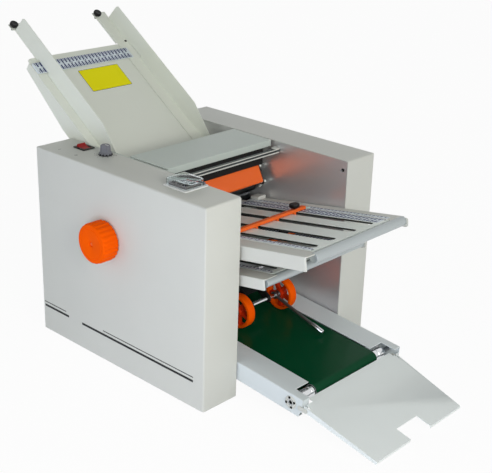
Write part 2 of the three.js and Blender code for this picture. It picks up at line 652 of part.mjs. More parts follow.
function addHandwheel() {
  const [y, z] = rollerAxes[1];
  const back = -(outerX + handwheel.gap);
  const front = back - handwheel.depth;
  const valley = handwheel.radius - handwheel.ribHeight;
  const step = 2 * Math.PI / handwheel.ribs;
  const rim = Array.from({ length: handwheel.ribs }, (_, i) => {
    const polar = (radius, share) => [y + radius * Math.cos((i + share) * step),
      z + radius * Math.sin((i + share) * step)];
    return [polar(valley, 0), polar(handwheel.radius, ribShares.rise),
      polar(handwheel.radius, ribShares.fall), polar(valley, ribShares.foot)];
  }).flat();
  const body = cut(
    join(alongX(rim, front + handwheel.faceDepth, back),
      rodX(y, z, handwheel.radius - handwheel.faceInset, front, back - overrun, largeSides)),
    boreX(y, z, roller.journal + seat, back - handwheel.socket, back + overrun, holeSides),
    rodX(y, z, handwheel.dimple, front - overrun, front + handwheel.dimpleDepth, smallSides));
  piece(machine, 'handwheel', body, orange);
}

function loop(axisA, radiusA, axisB, radiusB, thickness, x0, x1, steps = 9) {
  const flats = Math.cos(Math.PI / steps / 2);
  const [a, b] = [radiusA, radiusB].map((radius) => (radius + seat) / flats);
  const inner = aroundTwo(axisA, a, axisB, b, steps);
  const outer = aroundTwo(axisA, a + thickness, axisB, b + thickness, steps);
  return cut(alongX(outer, x0, x1), alongX(inner, x0 - overrun, x1 + overrun));
}

function addDrives() {
  const inset = (pulley.width - driveBelt.width) / 2;
  const right = [pulleyNear + inset, pulleyFar - inset];
  const left = [-mainFar + inset, -mainNear - inset];
  const lastRoller = rollerAxes[roller.count - 1];
  piece(machine, 'feed_drive_belt', loop(feedAxis, pulley.feed, rollerAxes[0], pulley.small,
    driveBelt.thickness, ...right), rubber);
  piece(machine, 'conveyor_drive_belt', loop(conveyorBackAxis, pulley.conveyor, lastRoller,
    pulley.small, driveBelt.thickness, ...right), rubber);
  piece(machine, 'main_drive_belt', loop(rollerAxes[1], pulley.main, motorAxis, pulley.motor,
    driveBelt.thickness, ...left), rubber);

  const x0 = -motor.x - motor.length / 2;
  const x1 = -motor.x + motor.length / 2;
  const body = cut(join(
    rodX(...motorAxis, motor.radius, x0, x1, largeSides),
    box(-motor.x - motor.foot / 2, -motor.x + motor.foot / 2, motorY - motor.footDepth / 2,
      motorY + motor.footDepth / 2, motorSeat, motorSeat + motor.lift + motor.footSink)),
  boreX(...motorAxis, motor.shaft + running, x0 - overrun, x0 + motor.bore, holeSides));
  piece(machine, 'motor', body, motorGrey);
  const shaft = join(
    rodX(...motorAxis, motor.shaft, -mainFar, x0 + motor.bore - seat, holeSides),
    rodX(...motorAxis, pulley.motor, -mainFar, -mainNear));
  piece(machine, 'motor_shaft', shaft, steel);
}

// The profile of a round knob from its underside to the middle of its top
function knobProfile(radius, bottom, height) {
  return [...knobShares.map(([r, h]) => [r * radius, bottom + h * height]), [0, bottom + height]];
}

function addFeedTable() {
  const bench = new THREE.Group();
  bench.position.set(0, tableY, casing.height);
  bench.rotation.x = tableLean;
  machine.add(bench);

  const half = tableHalf;
  const plan = roundedBox(-half, half, -table.down, table.up, [0, 0, table.corner, table.corner]);
  const flange = [[-table.down, 0], [-table.down, -table.flangeDeep], [table.taperStart, -table.flangeDeep],
    [table.up - table.corner, -table.flangeShallow], [table.up - table.corner, 0]];
  const walls = sides.map(([, side]) => join(
    alongX(flange, ...span(side, half - sheet, half)),
    rodX(-table.bossNear, -table.bossDepth, table.bossRadius, ...span(side, half - sheet, innerX - seat),
      smallSides),
    rodX(-table.bossFar, -table.bossDepth, table.bossRadius, ...span(side, half - sheet, innerX - seat),
      smallSides)));
  const backLip = box(-half + table.corner, half - table.corner, table.up - sheet, table.up, -table.lip, 0);
  piece(bench, 'feed_table', join(alongZ(plan, -sheet, 0), backLip, ...walls), paint);

  const barLeft = -half + rulerBar.leftInset;
  const barHigh = rulerBar.low + rulerBar.length;
  const barTop = rulerBar.lift + rulerBar.thick;
  const post = (x0, x1) => box(x0, x1, rulerBar.low + rulerBar.padEnd, barHigh - rulerBar.padEnd, seat,
    barTop);
  piece(bench, 'ruler_bar', join(
    box(barLeft, half - rulerBar.rightInset, rulerBar.low, barHigh, rulerBar.lift, barTop),
    post(-rulerBar.padHalf, rulerBar.padHalf), post(barLeft, barLeft + rulerBar.padEnd)), steel);
  const guideX = half - guide.inset;

  for (const [label, side] of sides) {
    const wall = [[-guide.down, guide.play], [guide.endUp, guide.play],
      [guide.endUp - guide.endLean, guide.height - guide.round],
      [guide.endUp - guide.endLean - guide.round, guide.height], [guide.tallStart, guide.height],
      [-guide.midAt, guide.midHeight], [-guide.lowAt, guide.lowHeight], [-guide.down, guide.lowHeight]];
    const inner = guideX - guide.floor;
    const endUp = guide.endUp + guide.tab;
    const screwUp = endUp - guide.screwBack;
    // The screw stands at the left edge of each guide's floor: outside the left wall, inside the right
    const screwX = side < 0 ? -guideX + sheet / 2 : inner + sheet / 2;
    const [f0, f1] = span(side, inner, guideX);
    const floor = box(f0, f1, -guide.down, endUp, guide.play, guide.play + sheet);
    const ear = box(screwX - guide.tabSide, screwX + guide.tabSide, guide.endUp + sheet, endUp, guide.play,
      guide.play + sheet);
    const hem = box(...span(side, inner, inner + sheet), table.up + guide.lip, endUp,
      guide.play - guide.lip, guide.play + sheet);
    const upright = cut(alongX(wall, ...span(side, guideX - sheet, guideX)),
      box(...span(side, guide.floor, innerX), rulerBar.low - rulerBar.slotClear,
        barHigh + rulerBar.slotClear, guide.play + sheet, guide.play + sheet + rulerBar.slotHeight));
    const solid = cut(
      join(upright, floor, ear, hem),
      boreZ(screwX, screwUp, thumb.stem + running, -thumb.tail - overrun, guide.lip, smallSides));
    piece(bench, `${label}_side_guide`, solid, paint);

    const top = guide.play + sheet;
    const profile = [[0, guide.play - thumb.tail], [thumb.stem, guide.play - thumb.tail],
      [thumb.stem, top + thumb.neck], ...knobProfile(thumb.radius, top + thumb.neck, thumb.head)];
    piece(bench, `${label}_guide_screw`, turned(profile, screwX, screwUp, holeSides), black);
  }
}

// A slatted plate with a slot inside it for the sheet, open at the mouth (high Y)
function slattedPlate(y0, y1, halfWidth, mouthAtHighY) {
  const z0 = -plate.thick;
  const slotY = mouthAtHighY ? [y0 + plate.gapEnd, y1 + overrun] : [y0 - overrun, y1 - plate.gapEnd];
  const gapY = mouthAtHighY ? [y0 + plate.gapEnd, y1 - plate.gapMouth]
    : [y0 + plate.gapMouth, y1 - plate.gapEnd];
  const body = box(-halfWidth, halfWidth, y0, y1, z0, 0);
  const slot = box(-halfWidth + plate.side, halfWidth - plate.side, ...slotY, z0 + plate.skin,
    z0 + plate.skin + plate.slot);
  const gaps = gapCentreShares.map((share) => box(share * halfWidth - plate.gapWidth / 2,
    share * halfWidth + plate.gapWidth / 2, ...gapY, z0 - overrun, overrun));
  return cut(body, slot, ...gaps);
}

function stopBar(group, name, y, halfWidth) {
  const z0 = stop.lift;
  const bar = box(-halfWidth, halfWidth, y - stop.depth / 2, y + stop.depth / 2, z0, z0 + stop.height);
  const pointer = box(halfWidth - overrun, halfWidth + stop.pointer, y - stop.pointerWidth / 2,
    y + stop.pointerWidth / 2,
    z0, z0 + stop.pointerHeight);
  const fingers = gapCentreShares.map((share) => box(share * plateHalf - stop.finger / 2,
    share * plateHalf + stop.finger / 2, y - stop.finger / 2, y + stop.finger / 2, -stop.fingerDepth,
    z0 + stop.height / 2));
  return piece(group, name, cut(join(bar, pointer, ...fingers),
    boreZ(stopKnobX, y, stop.bore, z0 - overrun, z0 + stop.height + overrun, smallSides)), orange);
}

function addFrontFoldPlates() {
  const levels = [['upper', rollerAxes[1][1], upperPlate], ['lower', rollerAxes[3][1], lowerPlate]];
  for (const [label, axisZ, size] of levels) {
    const group = new THREE.Group();
    group.position.set(0, 0, axisZ + plate.rise);
    group.rotation.x = -plateLean;
    machine.add(group);

    const slats = slattedPlate(-size.front + grid.frontInset, mouthY, plateHalf, true);
    piece(group, `${label}_fold_plate`, slats, greyPaint);

    const channels = sides.map(([, side]) => {
      const [x0, x1] = span(side, railIn, railOut);
      const line = [[x0, -rail.height], [x0, 0], [x1, 0], [x1, -rail.height]];
      const boss = (y) => rodX(y, -rail.bossDepth, rail.boss,
        ...span(side, railOut - rail.wall, innerX - seat), smallSides);
      return join(alongY(bentSheet([...line].reverse(), rail.wall), -size.front, mouthY - rail.mouthInset),
        box(x0, x1, -size.front, -size.front + rail.wall, -rail.height, 0),
        boss(rail.bossFront), boss(mouthY - rail.bossMouthInset));
    });
    const tubeY = -size.front + tube.inset;
    const tubeX = [-railIn - tube.leftReach, railOut - tube.rightInset];
    const barY = mouthY - crossBar.mouthInset;
    const crossing = box(-railIn - rail.wall, railIn + rail.wall, barY - crossBar.depth / 2,
      barY + crossBar.depth / 2,
      -plate.thick - seat - crossBar.height, -plate.thick - seat);
    const solids = [...channels, rodX(tubeY, -tube.radius, tube.radius, ...tubeX), crossing];
    if (label === 'upper') {
      const blockY = mouthY - block.mouthInset;
      solids.push(box(railOut - block.width, railOut, blockY - block.depth / 2, blockY + block.depth / 2,
        -rail.wall, block.height));
    }
    const hollow = [
      rodX(tubeY, -tube.radius, tube.bore, tubeX[1] - tube.mouth, tubeX[1] + overrun),
      rodX(tubeY, -tube.radius, tube.bore, tubeX[0] - overrun, tubeX[0] + tube.mouth),
    ];
    piece(group, `${label}_plate_frame`, cut(join(...solids), ...hollow), paint);

    stopBar(group, `${label}_stop_bar`, size.stopY, plateHalf - stop.endInset);
    const top = stop.lift + stop.height + seat;
    const profile = [[0, stop.lift + stop.height - stopKnob.stemDown],
      [stopKnob.stem, stop.lift + stop.height - stopKnob.stemDown], [stopKnob.stem, top],
      [stopKnob.waist, top], [stopKnob.waist, top + stopKnob.neck],
      ...knobProfile(stopKnob.radius, top + stopKnob.neck, stopKnob.height)];
    piece(group, `${label}_stop_knob`, turned(profile, stopKnobX, size.stopY, holeSides), black);
  }
}

function addRearFoldPlates() {
  const backOfRoller = rollerAxes[0][0] + roller.radius;
  const levels = [['rear_upper', rollerAxes[2][1]], ['rear_lower', rollerAxes[4][1]]];
  const { cheek, length, start } = rearPlate;
  for (const [label, z] of levels) {
    const group = new THREE.Group();
    group.position.set(0, backOfRoller + rearPlate.mouthGap, z + rearPlate.drop);
    group.rotation.x = Math.atan(plate.slope);
    machine.add(group);
    const cheeks = sides.map(([, side]) => join(
      box(...span(side, railOut - cheek, railOut), start, length, -rearPlate.sideHeight, 0),
      box(...span(side, plateHalf - cheek, railOut), start, length, -plate.skin, 0),
      ...[start + rearPlate.bossInset, length - rearPlate.bossInset].map((y) =>
        rodX(y, -rearPlate.sideHeight / 2, rail.boss, ...span(side, railOut - cheek, innerX - seat),
          smallSides))));
    const slats = slattedPlate(0, length, plateHalf, false);
    piece(group, `${label}_fold_plate`, join(slats, ...cheeks), greyPaint);
    stopBar(group, `${label}_stop_bar`, rearPlate.stopY, plateHalf - rearPlate.stopInset);
  }
}

function addConveyor() {
  const group = new THREE.Group();
  group.position.set(0, 0, conveyor.z);
  group.rotation.x = conveyorLean;
  machine.add(group);

  const wall = conveyor.railWall;
  const half = conveyorHalf;
  const front = beltRoller.frontY - conveyor.frontOver;
  const back = beltRoller.backY + conveyor.backOver;
  const axisFront = [beltRoller.frontY, beltAxisZ];
  const axisBack = [beltRoller.backY, beltAxisZ];
  const flangeIn = beltHalf + wall;
  const lugAxis = [front - lug.forward, -lug.drop];
  for (const [label, side] of sides) {
    const line = [[half - conveyor.railFoot, -conveyor.railHeight], [half, -conveyor.railHeight], [half, 0],
      [flangeIn, 0]];
    const section = bentSheet(line, wall);
    const body = alongY(side < 0 ? mirrorX(section) : section, front, back);
    const notch = box(...span(side, beltHalf - overrun, half - conveyor.strip),
      front - overrun, beltRoller.frontY + conveyor.notchInset, -conveyor.railHeight / 2, overrun);
    const corner = alongX([[front - overrun, -conveyor.railHeight - overrun],
      [front + conveyor.cornerBack, -conveyor.railHeight - overrun],
      [front - overrun, -conveyor.railHeight + conveyor.cornerRise]],
    ...span(side, half - conveyor.railFoot - overrun, half + overrun));
    const endWall = box(...span(side, half - conveyor.strip, half), front, front + wall,
      lugAxis[1] - 2 * lug.radius, 0);
    const lugX = (side < 0 ? half : trayRight) - lug.inset;
    const ear = alongX(aroundTwo(lugAxis, lug.radius, [front + wall, lugAxis[1]], lug.radius, 6),
      ...span(side, lugX - lug.width, lugX));
    const bosses = [conveyor.bossNear, beltRoller.backY - conveyor.bossBackInset].map((y) =>
      rodX(y, -conveyor.bossDepth, conveyor.boss, ...span(side, half - wall, innerX - seat), smallSides));
    const collar = rodX(...axisFront, bearing.radius, ...span(side, half - wall, half + bearing.thickness));
    const screws = Array.from({ length: bearing.screws }, (_, i) => {
      const angle = (i + 0.5) * 2 * Math.PI / bearing.screws;
      return rodX(axisFront[0] + bearing.screwCircle * Math.cos(angle),
        axisFront[1] + bearing.screwCircle * Math.sin(angle), bearing.screw,
        ...span(side, half, half + bearing.thickness + bearing.screwHead), bearing.screwSides);
    });
    const channel = cut(join(cut(body, notch, corner), endWall, ear, ...bosses, collar, ...screws),
      boreX(...axisFront, beltRoller.journal + running, ...span(side, half - 2 * wall, half + overrun * 2),
        holeSides),
      boreX(...axisBack, beltRoller.journal + running, ...span(side, half - 2 * wall, half + overrun),
        holeSides),
      boreX(...lugAxis, lug.pin + running, ...span(side, lugX - lug.width - overrun, half + overrun),
        smallSides));
    piece(group, `conveyor_${label}_rail`, channel, paint);
  }

  const bedTop = beltAxisZ + beltRoller.radius + seat - bed.under;
  const bedHalf = half - wall - seat;
  const bedLine = [[bedHalf, bedTop - bed.leg], [bedHalf, bedTop], [-bedHalf, bedTop],
    [-bedHalf, bedTop - bed.leg]];
  piece(group, 'conveyor_bed', alongY(bentSheet(bedLine, bed.wall),
    beltRoller.frontY + bed.frontGap, beltRoller.backY - bed.backGap), steel);

  const capNear = beltHalf - beltRoller.capSink;
  const capFar = half - conveyor.strip - beltRoller.capGap;
  const frontRoller = join(
    rodX(...axisFront, beltRoller.radius, -beltHalf, beltHalf),
    rodX(...axisFront, beltRoller.cap, -capFar, -capNear),
    rodX(...axisFront, beltRoller.cap, capNear, capFar),
    rodX(...axisFront, beltRoller.journal, -half, half, holeSides));
  piece(group, 'conveyor_front_roller', frontRoller, chrome);
  const backRoller = join(
    rodX(...axisBack, beltRoller.radius, -beltHalf, beltHalf),
    rodX(...axisBack, beltRoller.journal, -plateOut, pulleyFar, holeSides),
    rodX(...axisBack, pulley.conveyor, pulleyNear, pulleyFar));
  piece(group, 'conveyor_rear_roller', backRoller, steel);
  piece(group, 'conveyor_belt', loop(axisBack, beltRoller.radius, axisFront, beltRoller.radius,
    belt.thickness, -beltHalf, beltHalf), beltGreen);
}

function addTray() {
  const group = new THREE.Group();
  const origin = [trayHinge[0] + tray.behind, trayHinge[1] + tray.above];
  group.position.set(0, ...origin);
  group.rotation.x = tray.slopeDegrees * degrees;
  machine.add(group);

  const front = -tray.length;
  const half = conveyorHalf;
  const rightFront = trayRight - tray.taper;
  const notchY = front + tray.notchDepth;
  const plan = [[-half, front], [-tray.notchLeft, front], [-tray.notchLeft, notchY],
    [tray.notchRight, notchY], [tray.notchRight, front], [rightFront, front], [trayRight, 0],
    [-half, 0]];
  const skirt = [[0, 0], [0, -tray.flangeBack], [front, -tray.flangeFront], [front, 0]];
  const leftSkirt = alongX([...skirt].reverse(), -half, -half + sheet);
  const lean = Math.atan2(tray.taper, tray.length);
  const skew = new THREE.Matrix4().makeShear(0, 0, Math.tan(lean), 0, 0, 0);
  const rightSkirt = toSolid(toGeometry(alongX([...skirt].reverse(), -sheet, 0)).applyMatrix4(skew)
    .translate(trayRight, 0, 0));
  const lips = [[-half, -tray.notchLeft], [tray.notchRight, rightFront]].map(([x0, x1]) =>
    box(x0, x1, front, front + sheet, -tray.lip, 0));
  const pivot = intoTilt(trayHinge, origin, tray.slopeDegrees * degrees);
  const pins = [
    rodX(...pivot, lug.pin, -half, -half + lug.inset + lug.width, smallSides),
    rodX(...pivot, lug.pin, trayRight - lug.inset - lug.width, trayRight - sheet, smallSides),
  ];
  const lugGaps = [[-half, 1], [trayRight, -1]].map(([edge, inward]) => {
    const ends = [lug.inset - tray.lugClear, lug.inset + lug.width + tray.lugClear];
    const [near, far] = ends.map((reach) => edge + inward * reach);
    return box(Math.min(near, far), Math.max(near, far), -tray.lugNotch, overrun, -overrun, overrun);
  });
  const floor = cut(alongZ(plan, -sheet, 0), ...lugGaps);
  piece(group, 'delivery_tray', join(floor, leftSkirt, rightSkirt, ...lips, ...pins), greyPaint);
}

function addPress() {
  const [beltY, beltZ] = onConveyor(press.y / Math.cos(conveyorLean), -belt.drop);
  const wheelAxis = [press.y, beltZ + (pressWheel.radius + pressWheel.ride) / Math.cos(conveyorLean)
    + (press.y - beltY) * Math.tan(conveyorLean)];
  const axleReach = pressWheel.width / 2 + press.axleOver;
  const leftX = beltHalf * acrossBeltShares.leftWheel;
  const rightX = beltHalf * acrossBeltShares.rightWheel;
  const arm = join(
    alongX(aroundTwo(pressRod, press.armTop, wheelAxis, press.armLow),
      beltHalf * acrossBeltShares.armLeft, beltHalf * acrossBeltShares.armRight),
    rodX(...pressRod, press.rodRadius, -plateOut, plateOut, holeSides),
    rodX(...wheelAxis, press.axle, leftX - axleReach, rightX + axleReach, holeSides));
  piece(machine, 'press_arm', arm, black);

  for (const [label, x] of [['left', leftX], ['right', rightX]]) {
    const x0 = x - pressWheel.width / 2;
    const x1 = x + pressWheel.width / 2;
    const rim = pressWheel.radius - pressWheel.rimDepth;
    const ring = cut(rodX(...wheelAxis, pressWheel.radius, x0, x1, largeSides),
      rodX(...wheelAxis, rim, x0 - overrun, x1 + overrun, largeSides));
    const hub = rodX(...wheelAxis, pressWheel.hub, x0, x1);
    const spokes = Array.from({ length: pressWheel.spokes }, (_, i) => {
      const turn = new THREE.Matrix4().makeRotationX(i * 2 * Math.PI / pressWheel.spokes)
        .setPosition(x, wheelAxis[0], wheelAxis[1]);
      const bar = new THREE.BoxGeometry(pressWheel.web, pressWheel.spoke, rim + pressWheel.rimDepth / 2);
      bar.translate(0, 0, (rim + pressWheel.rimDepth / 2) / 2);
      return toSolid(bar.applyMatrix4(turn));
    });
    const wheel = cut(join(ring, hub, ...spokes),
      boreX(...wheelAxis, press.axle + pressWheel.bore, x0 - overrun, x1 + overrun, holeSides));
    piece(machine, `${label}_press_wheel`, wheel, orange);
  }

  const group = new THREE.Group();
  group.position.set(beltHalf * acrossBeltShares.guideRod, ...wheelAxis);
  group.rotation.x = guideRod.slopeDegrees * degrees;
  machine.add(group);
  const halfEye = guideRod.eyeWidth / 2;
  const rod = cut(
    join(rodX(0, 0, guideRod.eye, -halfEye, halfEye),
      rodY(0, 0, guideRod.radius, -guideRod.length, -press.axle, smallSides),
      rodY(0, 0, guideRod.sleeve, -guideRod.length, -guideRod.length + guideRod.sleeveLength, smallSides)),
    boreX(0, 0, press.axle + running, -halfEye - overrun, halfEye + overrun, holeSides));
  piece(group, 'guide_rod', rod, steel);
}

addCasings();
addSideFrames();
addFeetAndBase();
addInlet();
addSwitch();
addSpeedKnob();
addCounter();
addTopCover();
addSeparatorBeam();
addRollers();
addHandwheel();
addDrives();
addFeedTable();
addFrontFoldPlates();
addRearFoldPlates();
addConveyor();
addTray();
addPress();

// The origin lies under the middle of the whole machine, where it stands
const bounds = new THREE.Box3().setFromObject(machine, true);
machine.position.set(-(bounds.min.x + bounds.max.x) / 2, -(bounds.min.y + bounds.max.y) / 2, -bounds.min.z);

const part = new THREE.Group();
part.add(machine);

export default part;
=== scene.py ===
# Paper folding machine: its looks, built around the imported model. Shapes are drawn in millimetres in
# frames of their own, and each mesh ends up in metres in the model's frame, +Z up.
import json
import math

import bmesh
import bpy
from mathutils import Matrix, Vector


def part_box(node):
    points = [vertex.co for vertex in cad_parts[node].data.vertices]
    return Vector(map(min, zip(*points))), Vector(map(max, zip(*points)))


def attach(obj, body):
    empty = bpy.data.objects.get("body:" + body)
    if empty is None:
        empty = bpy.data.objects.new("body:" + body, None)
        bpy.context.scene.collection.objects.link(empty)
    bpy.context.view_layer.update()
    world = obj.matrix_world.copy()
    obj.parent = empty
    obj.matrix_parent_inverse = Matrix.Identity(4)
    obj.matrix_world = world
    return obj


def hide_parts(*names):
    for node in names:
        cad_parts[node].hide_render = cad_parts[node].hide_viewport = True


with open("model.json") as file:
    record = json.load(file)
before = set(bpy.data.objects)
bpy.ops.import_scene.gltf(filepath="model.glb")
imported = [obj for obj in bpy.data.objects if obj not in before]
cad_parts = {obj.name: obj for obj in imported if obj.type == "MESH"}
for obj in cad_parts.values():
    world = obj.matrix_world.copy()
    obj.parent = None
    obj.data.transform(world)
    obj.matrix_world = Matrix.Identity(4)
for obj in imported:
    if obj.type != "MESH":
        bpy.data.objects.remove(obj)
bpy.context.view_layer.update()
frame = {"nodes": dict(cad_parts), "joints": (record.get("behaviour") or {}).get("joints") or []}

MM = 0.001
SMOOTH_ANGLE = math.radians(35)
FLAT_ANGLE = math.radians(1)
WELD_DISTANCE = 1e-6

# How far print, and the screw heads on the back, stand off their surface, in millimetres
LIFT = 0.04

# Slopes, in degrees, of the frames that pieces lie in, and where those frames start
TABLE_SLOPE = 34.6
TABLE_BEHIND = 172.4
PLATE_SLOPE = math.degrees(math.atan(0.163))
PLATE_RISE = 45.3
CONVEYOR_SLOPE = 5
CONVEYOR_Z = 78
TRAY_SLOPE = 12.76
TRAY_BEHIND = 5.3
TRAY_ABOVE = 8.6
ROD_SLOPE = 16.1
ROCKER_TILT = 13


# Frames

def shifted(x, y, z, slope=0):
    turn = Matrix.Rotation(math.radians(slope), 4, "X")
    return Matrix.Translation((x, y, z)) @ turn


def around(radius, angle, z):
    return shifted(radius * math.cos(angle), radius * math.sin(angle), z)


def home_frame():
    left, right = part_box("left_casing"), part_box("right_casing")
    middle = (left[1].x + right[0].x) / 2
    return Matrix.Translation((middle, left[0].y, left[0].z)) @ Matrix.Scale(MM, 4)


HOME = home_frame()


def extent(node, place=HOME):
    """Lowest and highest corner of a CAD node, in millimetres in a frame."""
    back = place.inverted()
    points = [back @ vertex.co for vertex in frame["nodes"][node].data.vertices]
    low = Vector([min(point[i] for point in points) for i in range(3)])
    high = Vector([max(point[i] for point in points) for i in range(3)])
    return low, high


def pivot(joint):
    """A joint's place, in millimetres in the home frame."""
    found = next(j for j in frame["joints"] if j["name"] == joint)
    return HOME.inverted() @ Vector(found["pos_m"])


CASING_LOW, CASING_HIGH = extent("left_casing")
BACK_Y = CASING_HIGH.y
TOP_Z = CASING_HIGH.z
OUTER_X = -CASING_LOW.x
INNER_X = -CASING_HIGH.x
MAIN = pivot("main_roller_spin")
TABLE = HOME @ shifted(0, MAIN.y + TABLE_BEHIND, TOP_Z, TABLE_SLOPE)
UPPER = HOME @ shifted(0, 0, MAIN.z + PLATE_RISE, -PLATE_SLOPE)
LOWER = HOME @ shifted(0, 0, pivot("roller_4_spin").z + PLATE_RISE, -PLATE_SLOPE)
CONVEYOR = HOME @ shifted(0, 0, CONVEYOR_Z, CONVEYOR_SLOPE)
TRAY_HINGE = pivot("tray_fold")
TRAY = HOME @ shifted(0, TRAY_HINGE.y + TRAY_BEHIND, TRAY_HINGE.z + TRAY_ABOVE, TRAY_SLOPE)
WHEEL_AXIS = pivot("left_press_wheel_spin")

# Turns that lay a shape's Z along X or Y, and a quarter turn about Z
ALONG_X = Matrix.Rotation(math.radians(90), 4, "Y")
ALONG_Y = Matrix.Rotation(math.radians(-90), 4, "X")
QUARTER = Matrix.Rotation(math.radians(90), 4, "Z")


# Materials

RELIEF_DEPTH = 0.0002


def colour(screen):
    """The linear shares of a colour given as it looks on a screen, 0 to 255."""
    shares = [value / 255 for value in screen]
    return [s / 12.92 if s <= 0.04045 else ((s + 0.055) / 1.055) ** 2.4 for s in shares]


def set_sockets(node, **values):
    """Sets a node's sockets by name, where an underscore stands for a space."""
    for socket, value in values.items():
        node.inputs[socket.replace("_", " ")].default_value = value
    return node


def finish(name, screen, roughness, metallic, tone, grain, bump, specular, tone_scale=7,
           stretch=(1, 1, 1), spread=0.06, **more):
    """A finish whose tone drifts, and whose gloss and relief follow a fine, stretched grain."""
    material = bpy.data.materials.new(name)
    material.use_nodes = True
    nodes, links = material.node_tree.nodes, material.node_tree.links
    shader = set_sockets(nodes["Principled BSDF"], Metallic=metallic, Specular_IOR_Level=specular, **more)
    base = colour(screen)
    where = nodes.new("ShaderNodeTexCoord").outputs["Object"]

    broad = set_sockets(nodes.new("ShaderNodeTexNoise"), Scale=tone_scale, Detail=4)
    links.new(where, broad.inputs["Vector"])
    tint = nodes.new("ShaderNodeMix")
    tint.data_type = "RGBA"
    set_sockets(tint, A=[*[c * (1 - tone) for c in base], 1],
                B=[*[min(1, c * (1 + tone)) for c in base], 1])
    links.new(broad.outputs["Fac"], tint.inputs["Factor"])
    links.new(tint.outputs["Result"], shader.inputs["Base Color"])

    stretched = set_sockets(nodes.new("ShaderNodeMapping"), Scale=stretch)
    links.new(where, stretched.inputs["Vector"])
    fine = set_sockets(nodes.new("ShaderNodeTexNoise"), Scale=grain, Detail=3)
    links.new(stretched.outputs["Vector"], fine.inputs["Vector"])
    gloss = set_sockets(nodes.new("ShaderNodeMapRange"), To_Min=max(0.02, roughness - spread),
                        To_Max=min(1, roughness + spread))
    links.new(fine.outputs["Fac"], gloss.inputs["Value"])
    links.new(gloss.outputs["Result"], shader.inputs["Roughness"])
    relief = set_sockets(nodes.new("ShaderNodeBump"), Strength=bump, Distance=RELIEF_DEPTH)
    links.new(fine.outputs["Fac"], relief.inputs["Height"])
    links.new(relief.outputs["Normal"], shader.inputs["Normal"])
    return material


# Screen colour, roughness, metallic share, drift of tone, fineness of grain, strength of relief, and how
# strongly the surface mirrors
LOOKS = {
    "painted_white": ((209, 211, 206), 0.42, 0, 0.04, 900, 0.12, 0.35),
    # A lighter copy of painted_white for the feed table and its guides: painted light, brighter than the
    # lamps make them
    "painted_white_lit": ((230, 234, 225), 0.42, 0, 0.04, 900, 0.12, 0.35),
    # A lighter, bluer copy of painted_white for the delivery tray: painted light, for the cool light that
    # falls on it
    "painted_white_lit_cool": ((238, 245, 246), 0.4, 0, 0.04, 900, 0.12, 0.35),
    # A lighter, bluer copy of painted_white for the conveyor rails: painted light
    "painted_white_lit_rail": ((220, 228, 231), 0.4, 0, 0.04, 900, 0.12, 0.35),
    "painted_grey": ((196, 206, 201), 0.4, 0, 0.04, 900, 0.12, 0.35),
    # A darker, slightly metallic copy of painted_white for the front tubes: painted shade
    "painted_white_shaded_tube": ((178, 186, 189), 0.3, 0.2, 0.04, 900, 0.06, 0.4),
    "slat_metal": ((236, 244, 240), 0.36, 0.1, 0.04, 700, 0.1, 0.35),
    # The dark lower sheets of the fold plates: painted shade, seen through the upper sheets' slots
    "shaded_lower_sheet": ((70, 73, 72), 0.5, 0.3, 0.04, 700, 0.1, 0.5),
    "side_plate_steel": ((222, 222, 224), 0.34, 0.74, 0.06, 700, 0.05, 0.5),
    "ruler_steel": ((220, 229, 236), 0.4, 0.15, 0.04, 700, 0.06, 0.35),
    "steel": ((150, 152, 154), 0.3, 1, 0.04, 700, 0.08, 0.5),
    "roller_steel": ((86, 90, 92), 0.36, 1, 0.04, 700, 0.08, 0.5),
    "chrome": ((214, 216, 218), 0.12, 1, 0.04, 700, 0.02, 0.5),
    "motor_paint": ((74, 80, 84), 0.55, 0.2, 0.1, 700, 0.25, 0.5),
    "orange_paint": ((253, 108, 34), 0.34, 0, 0.08, 700, 0.08, 0.3),
    "black_paint": ((26, 27, 27), 0.4, 0, 0.15, 700, 0.15, 0.25),
    "orange_plastic": ((255, 93, 0), 0.5, 0, 0.06, 1400, 0.1, 0.03),
    # A darker red copy of the wheels' orange for their recessed webs and hubs: painted shade
    "shaded_wheel_core": ((206, 52, 8), 0.5, 0, 0.08, 1400, 0.1, 0.1),
    "black_plastic": ((14, 14, 15), 0.36, 0, 0.15, 1500, 0.15, 0.2),
    "red_plastic": ((150, 3, 3), 0.3, 0, 0.08, 1500, 0.06, 0.2),
    "grey_plastic": ((112, 114, 122), 0.42, 0, 0.08, 1500, 0.15, 0.3),
    "counter_grey": ((112, 106, 104), 0.4, 0, 0.08, 1500, 0.1, 0.5),
    "foot_rubber": ((34, 34, 35), 0.8, 0, 0.2, 1200, 0.3, 0.5),
    "roller_rubber": ((40, 41, 43), 0.75, 0, 0.2, 1100, 0.3, 0.5),
    "belt_green": ((1, 66, 38), 0.22, 0, 0.12, 1600, 0.06, 0.07),
    "clear_plastic": ((236, 242, 244), 0.06, 0, 0.02, 700, 0.02, 0.5),
    "clear_tint": ((206, 236, 230), 0.2, 0, 0.03, 700, 0.02, 0.5),
    "dark_glass": ((38, 40, 48), 0.12, 0, 0.2, 700, 0.02, 0.5),
    "yellow_print": ((248, 240, 4), 0.4, 0, 0.05, 700, 0.05, 0.12),
    "blue_print": ((20, 34, 96), 0.5, 0, 0.2, 700, 0.03, 0.2),
    "black_print": ((20, 21, 26), 0.42, 0, 0.15, 700, 0.03, 0.2),
    "white_print": ((226, 228, 228), 0.4, 0, 0.05, 700, 0.03, 0.3),
}
LONG_GRAIN_Y = dict(stretch=(1, 0.03, 1))
LONG_GRAIN_X = dict(stretch=(0.03, 1, 1))
ROUND_GRAIN = dict(stretch=(1, 0.2, 0.2))
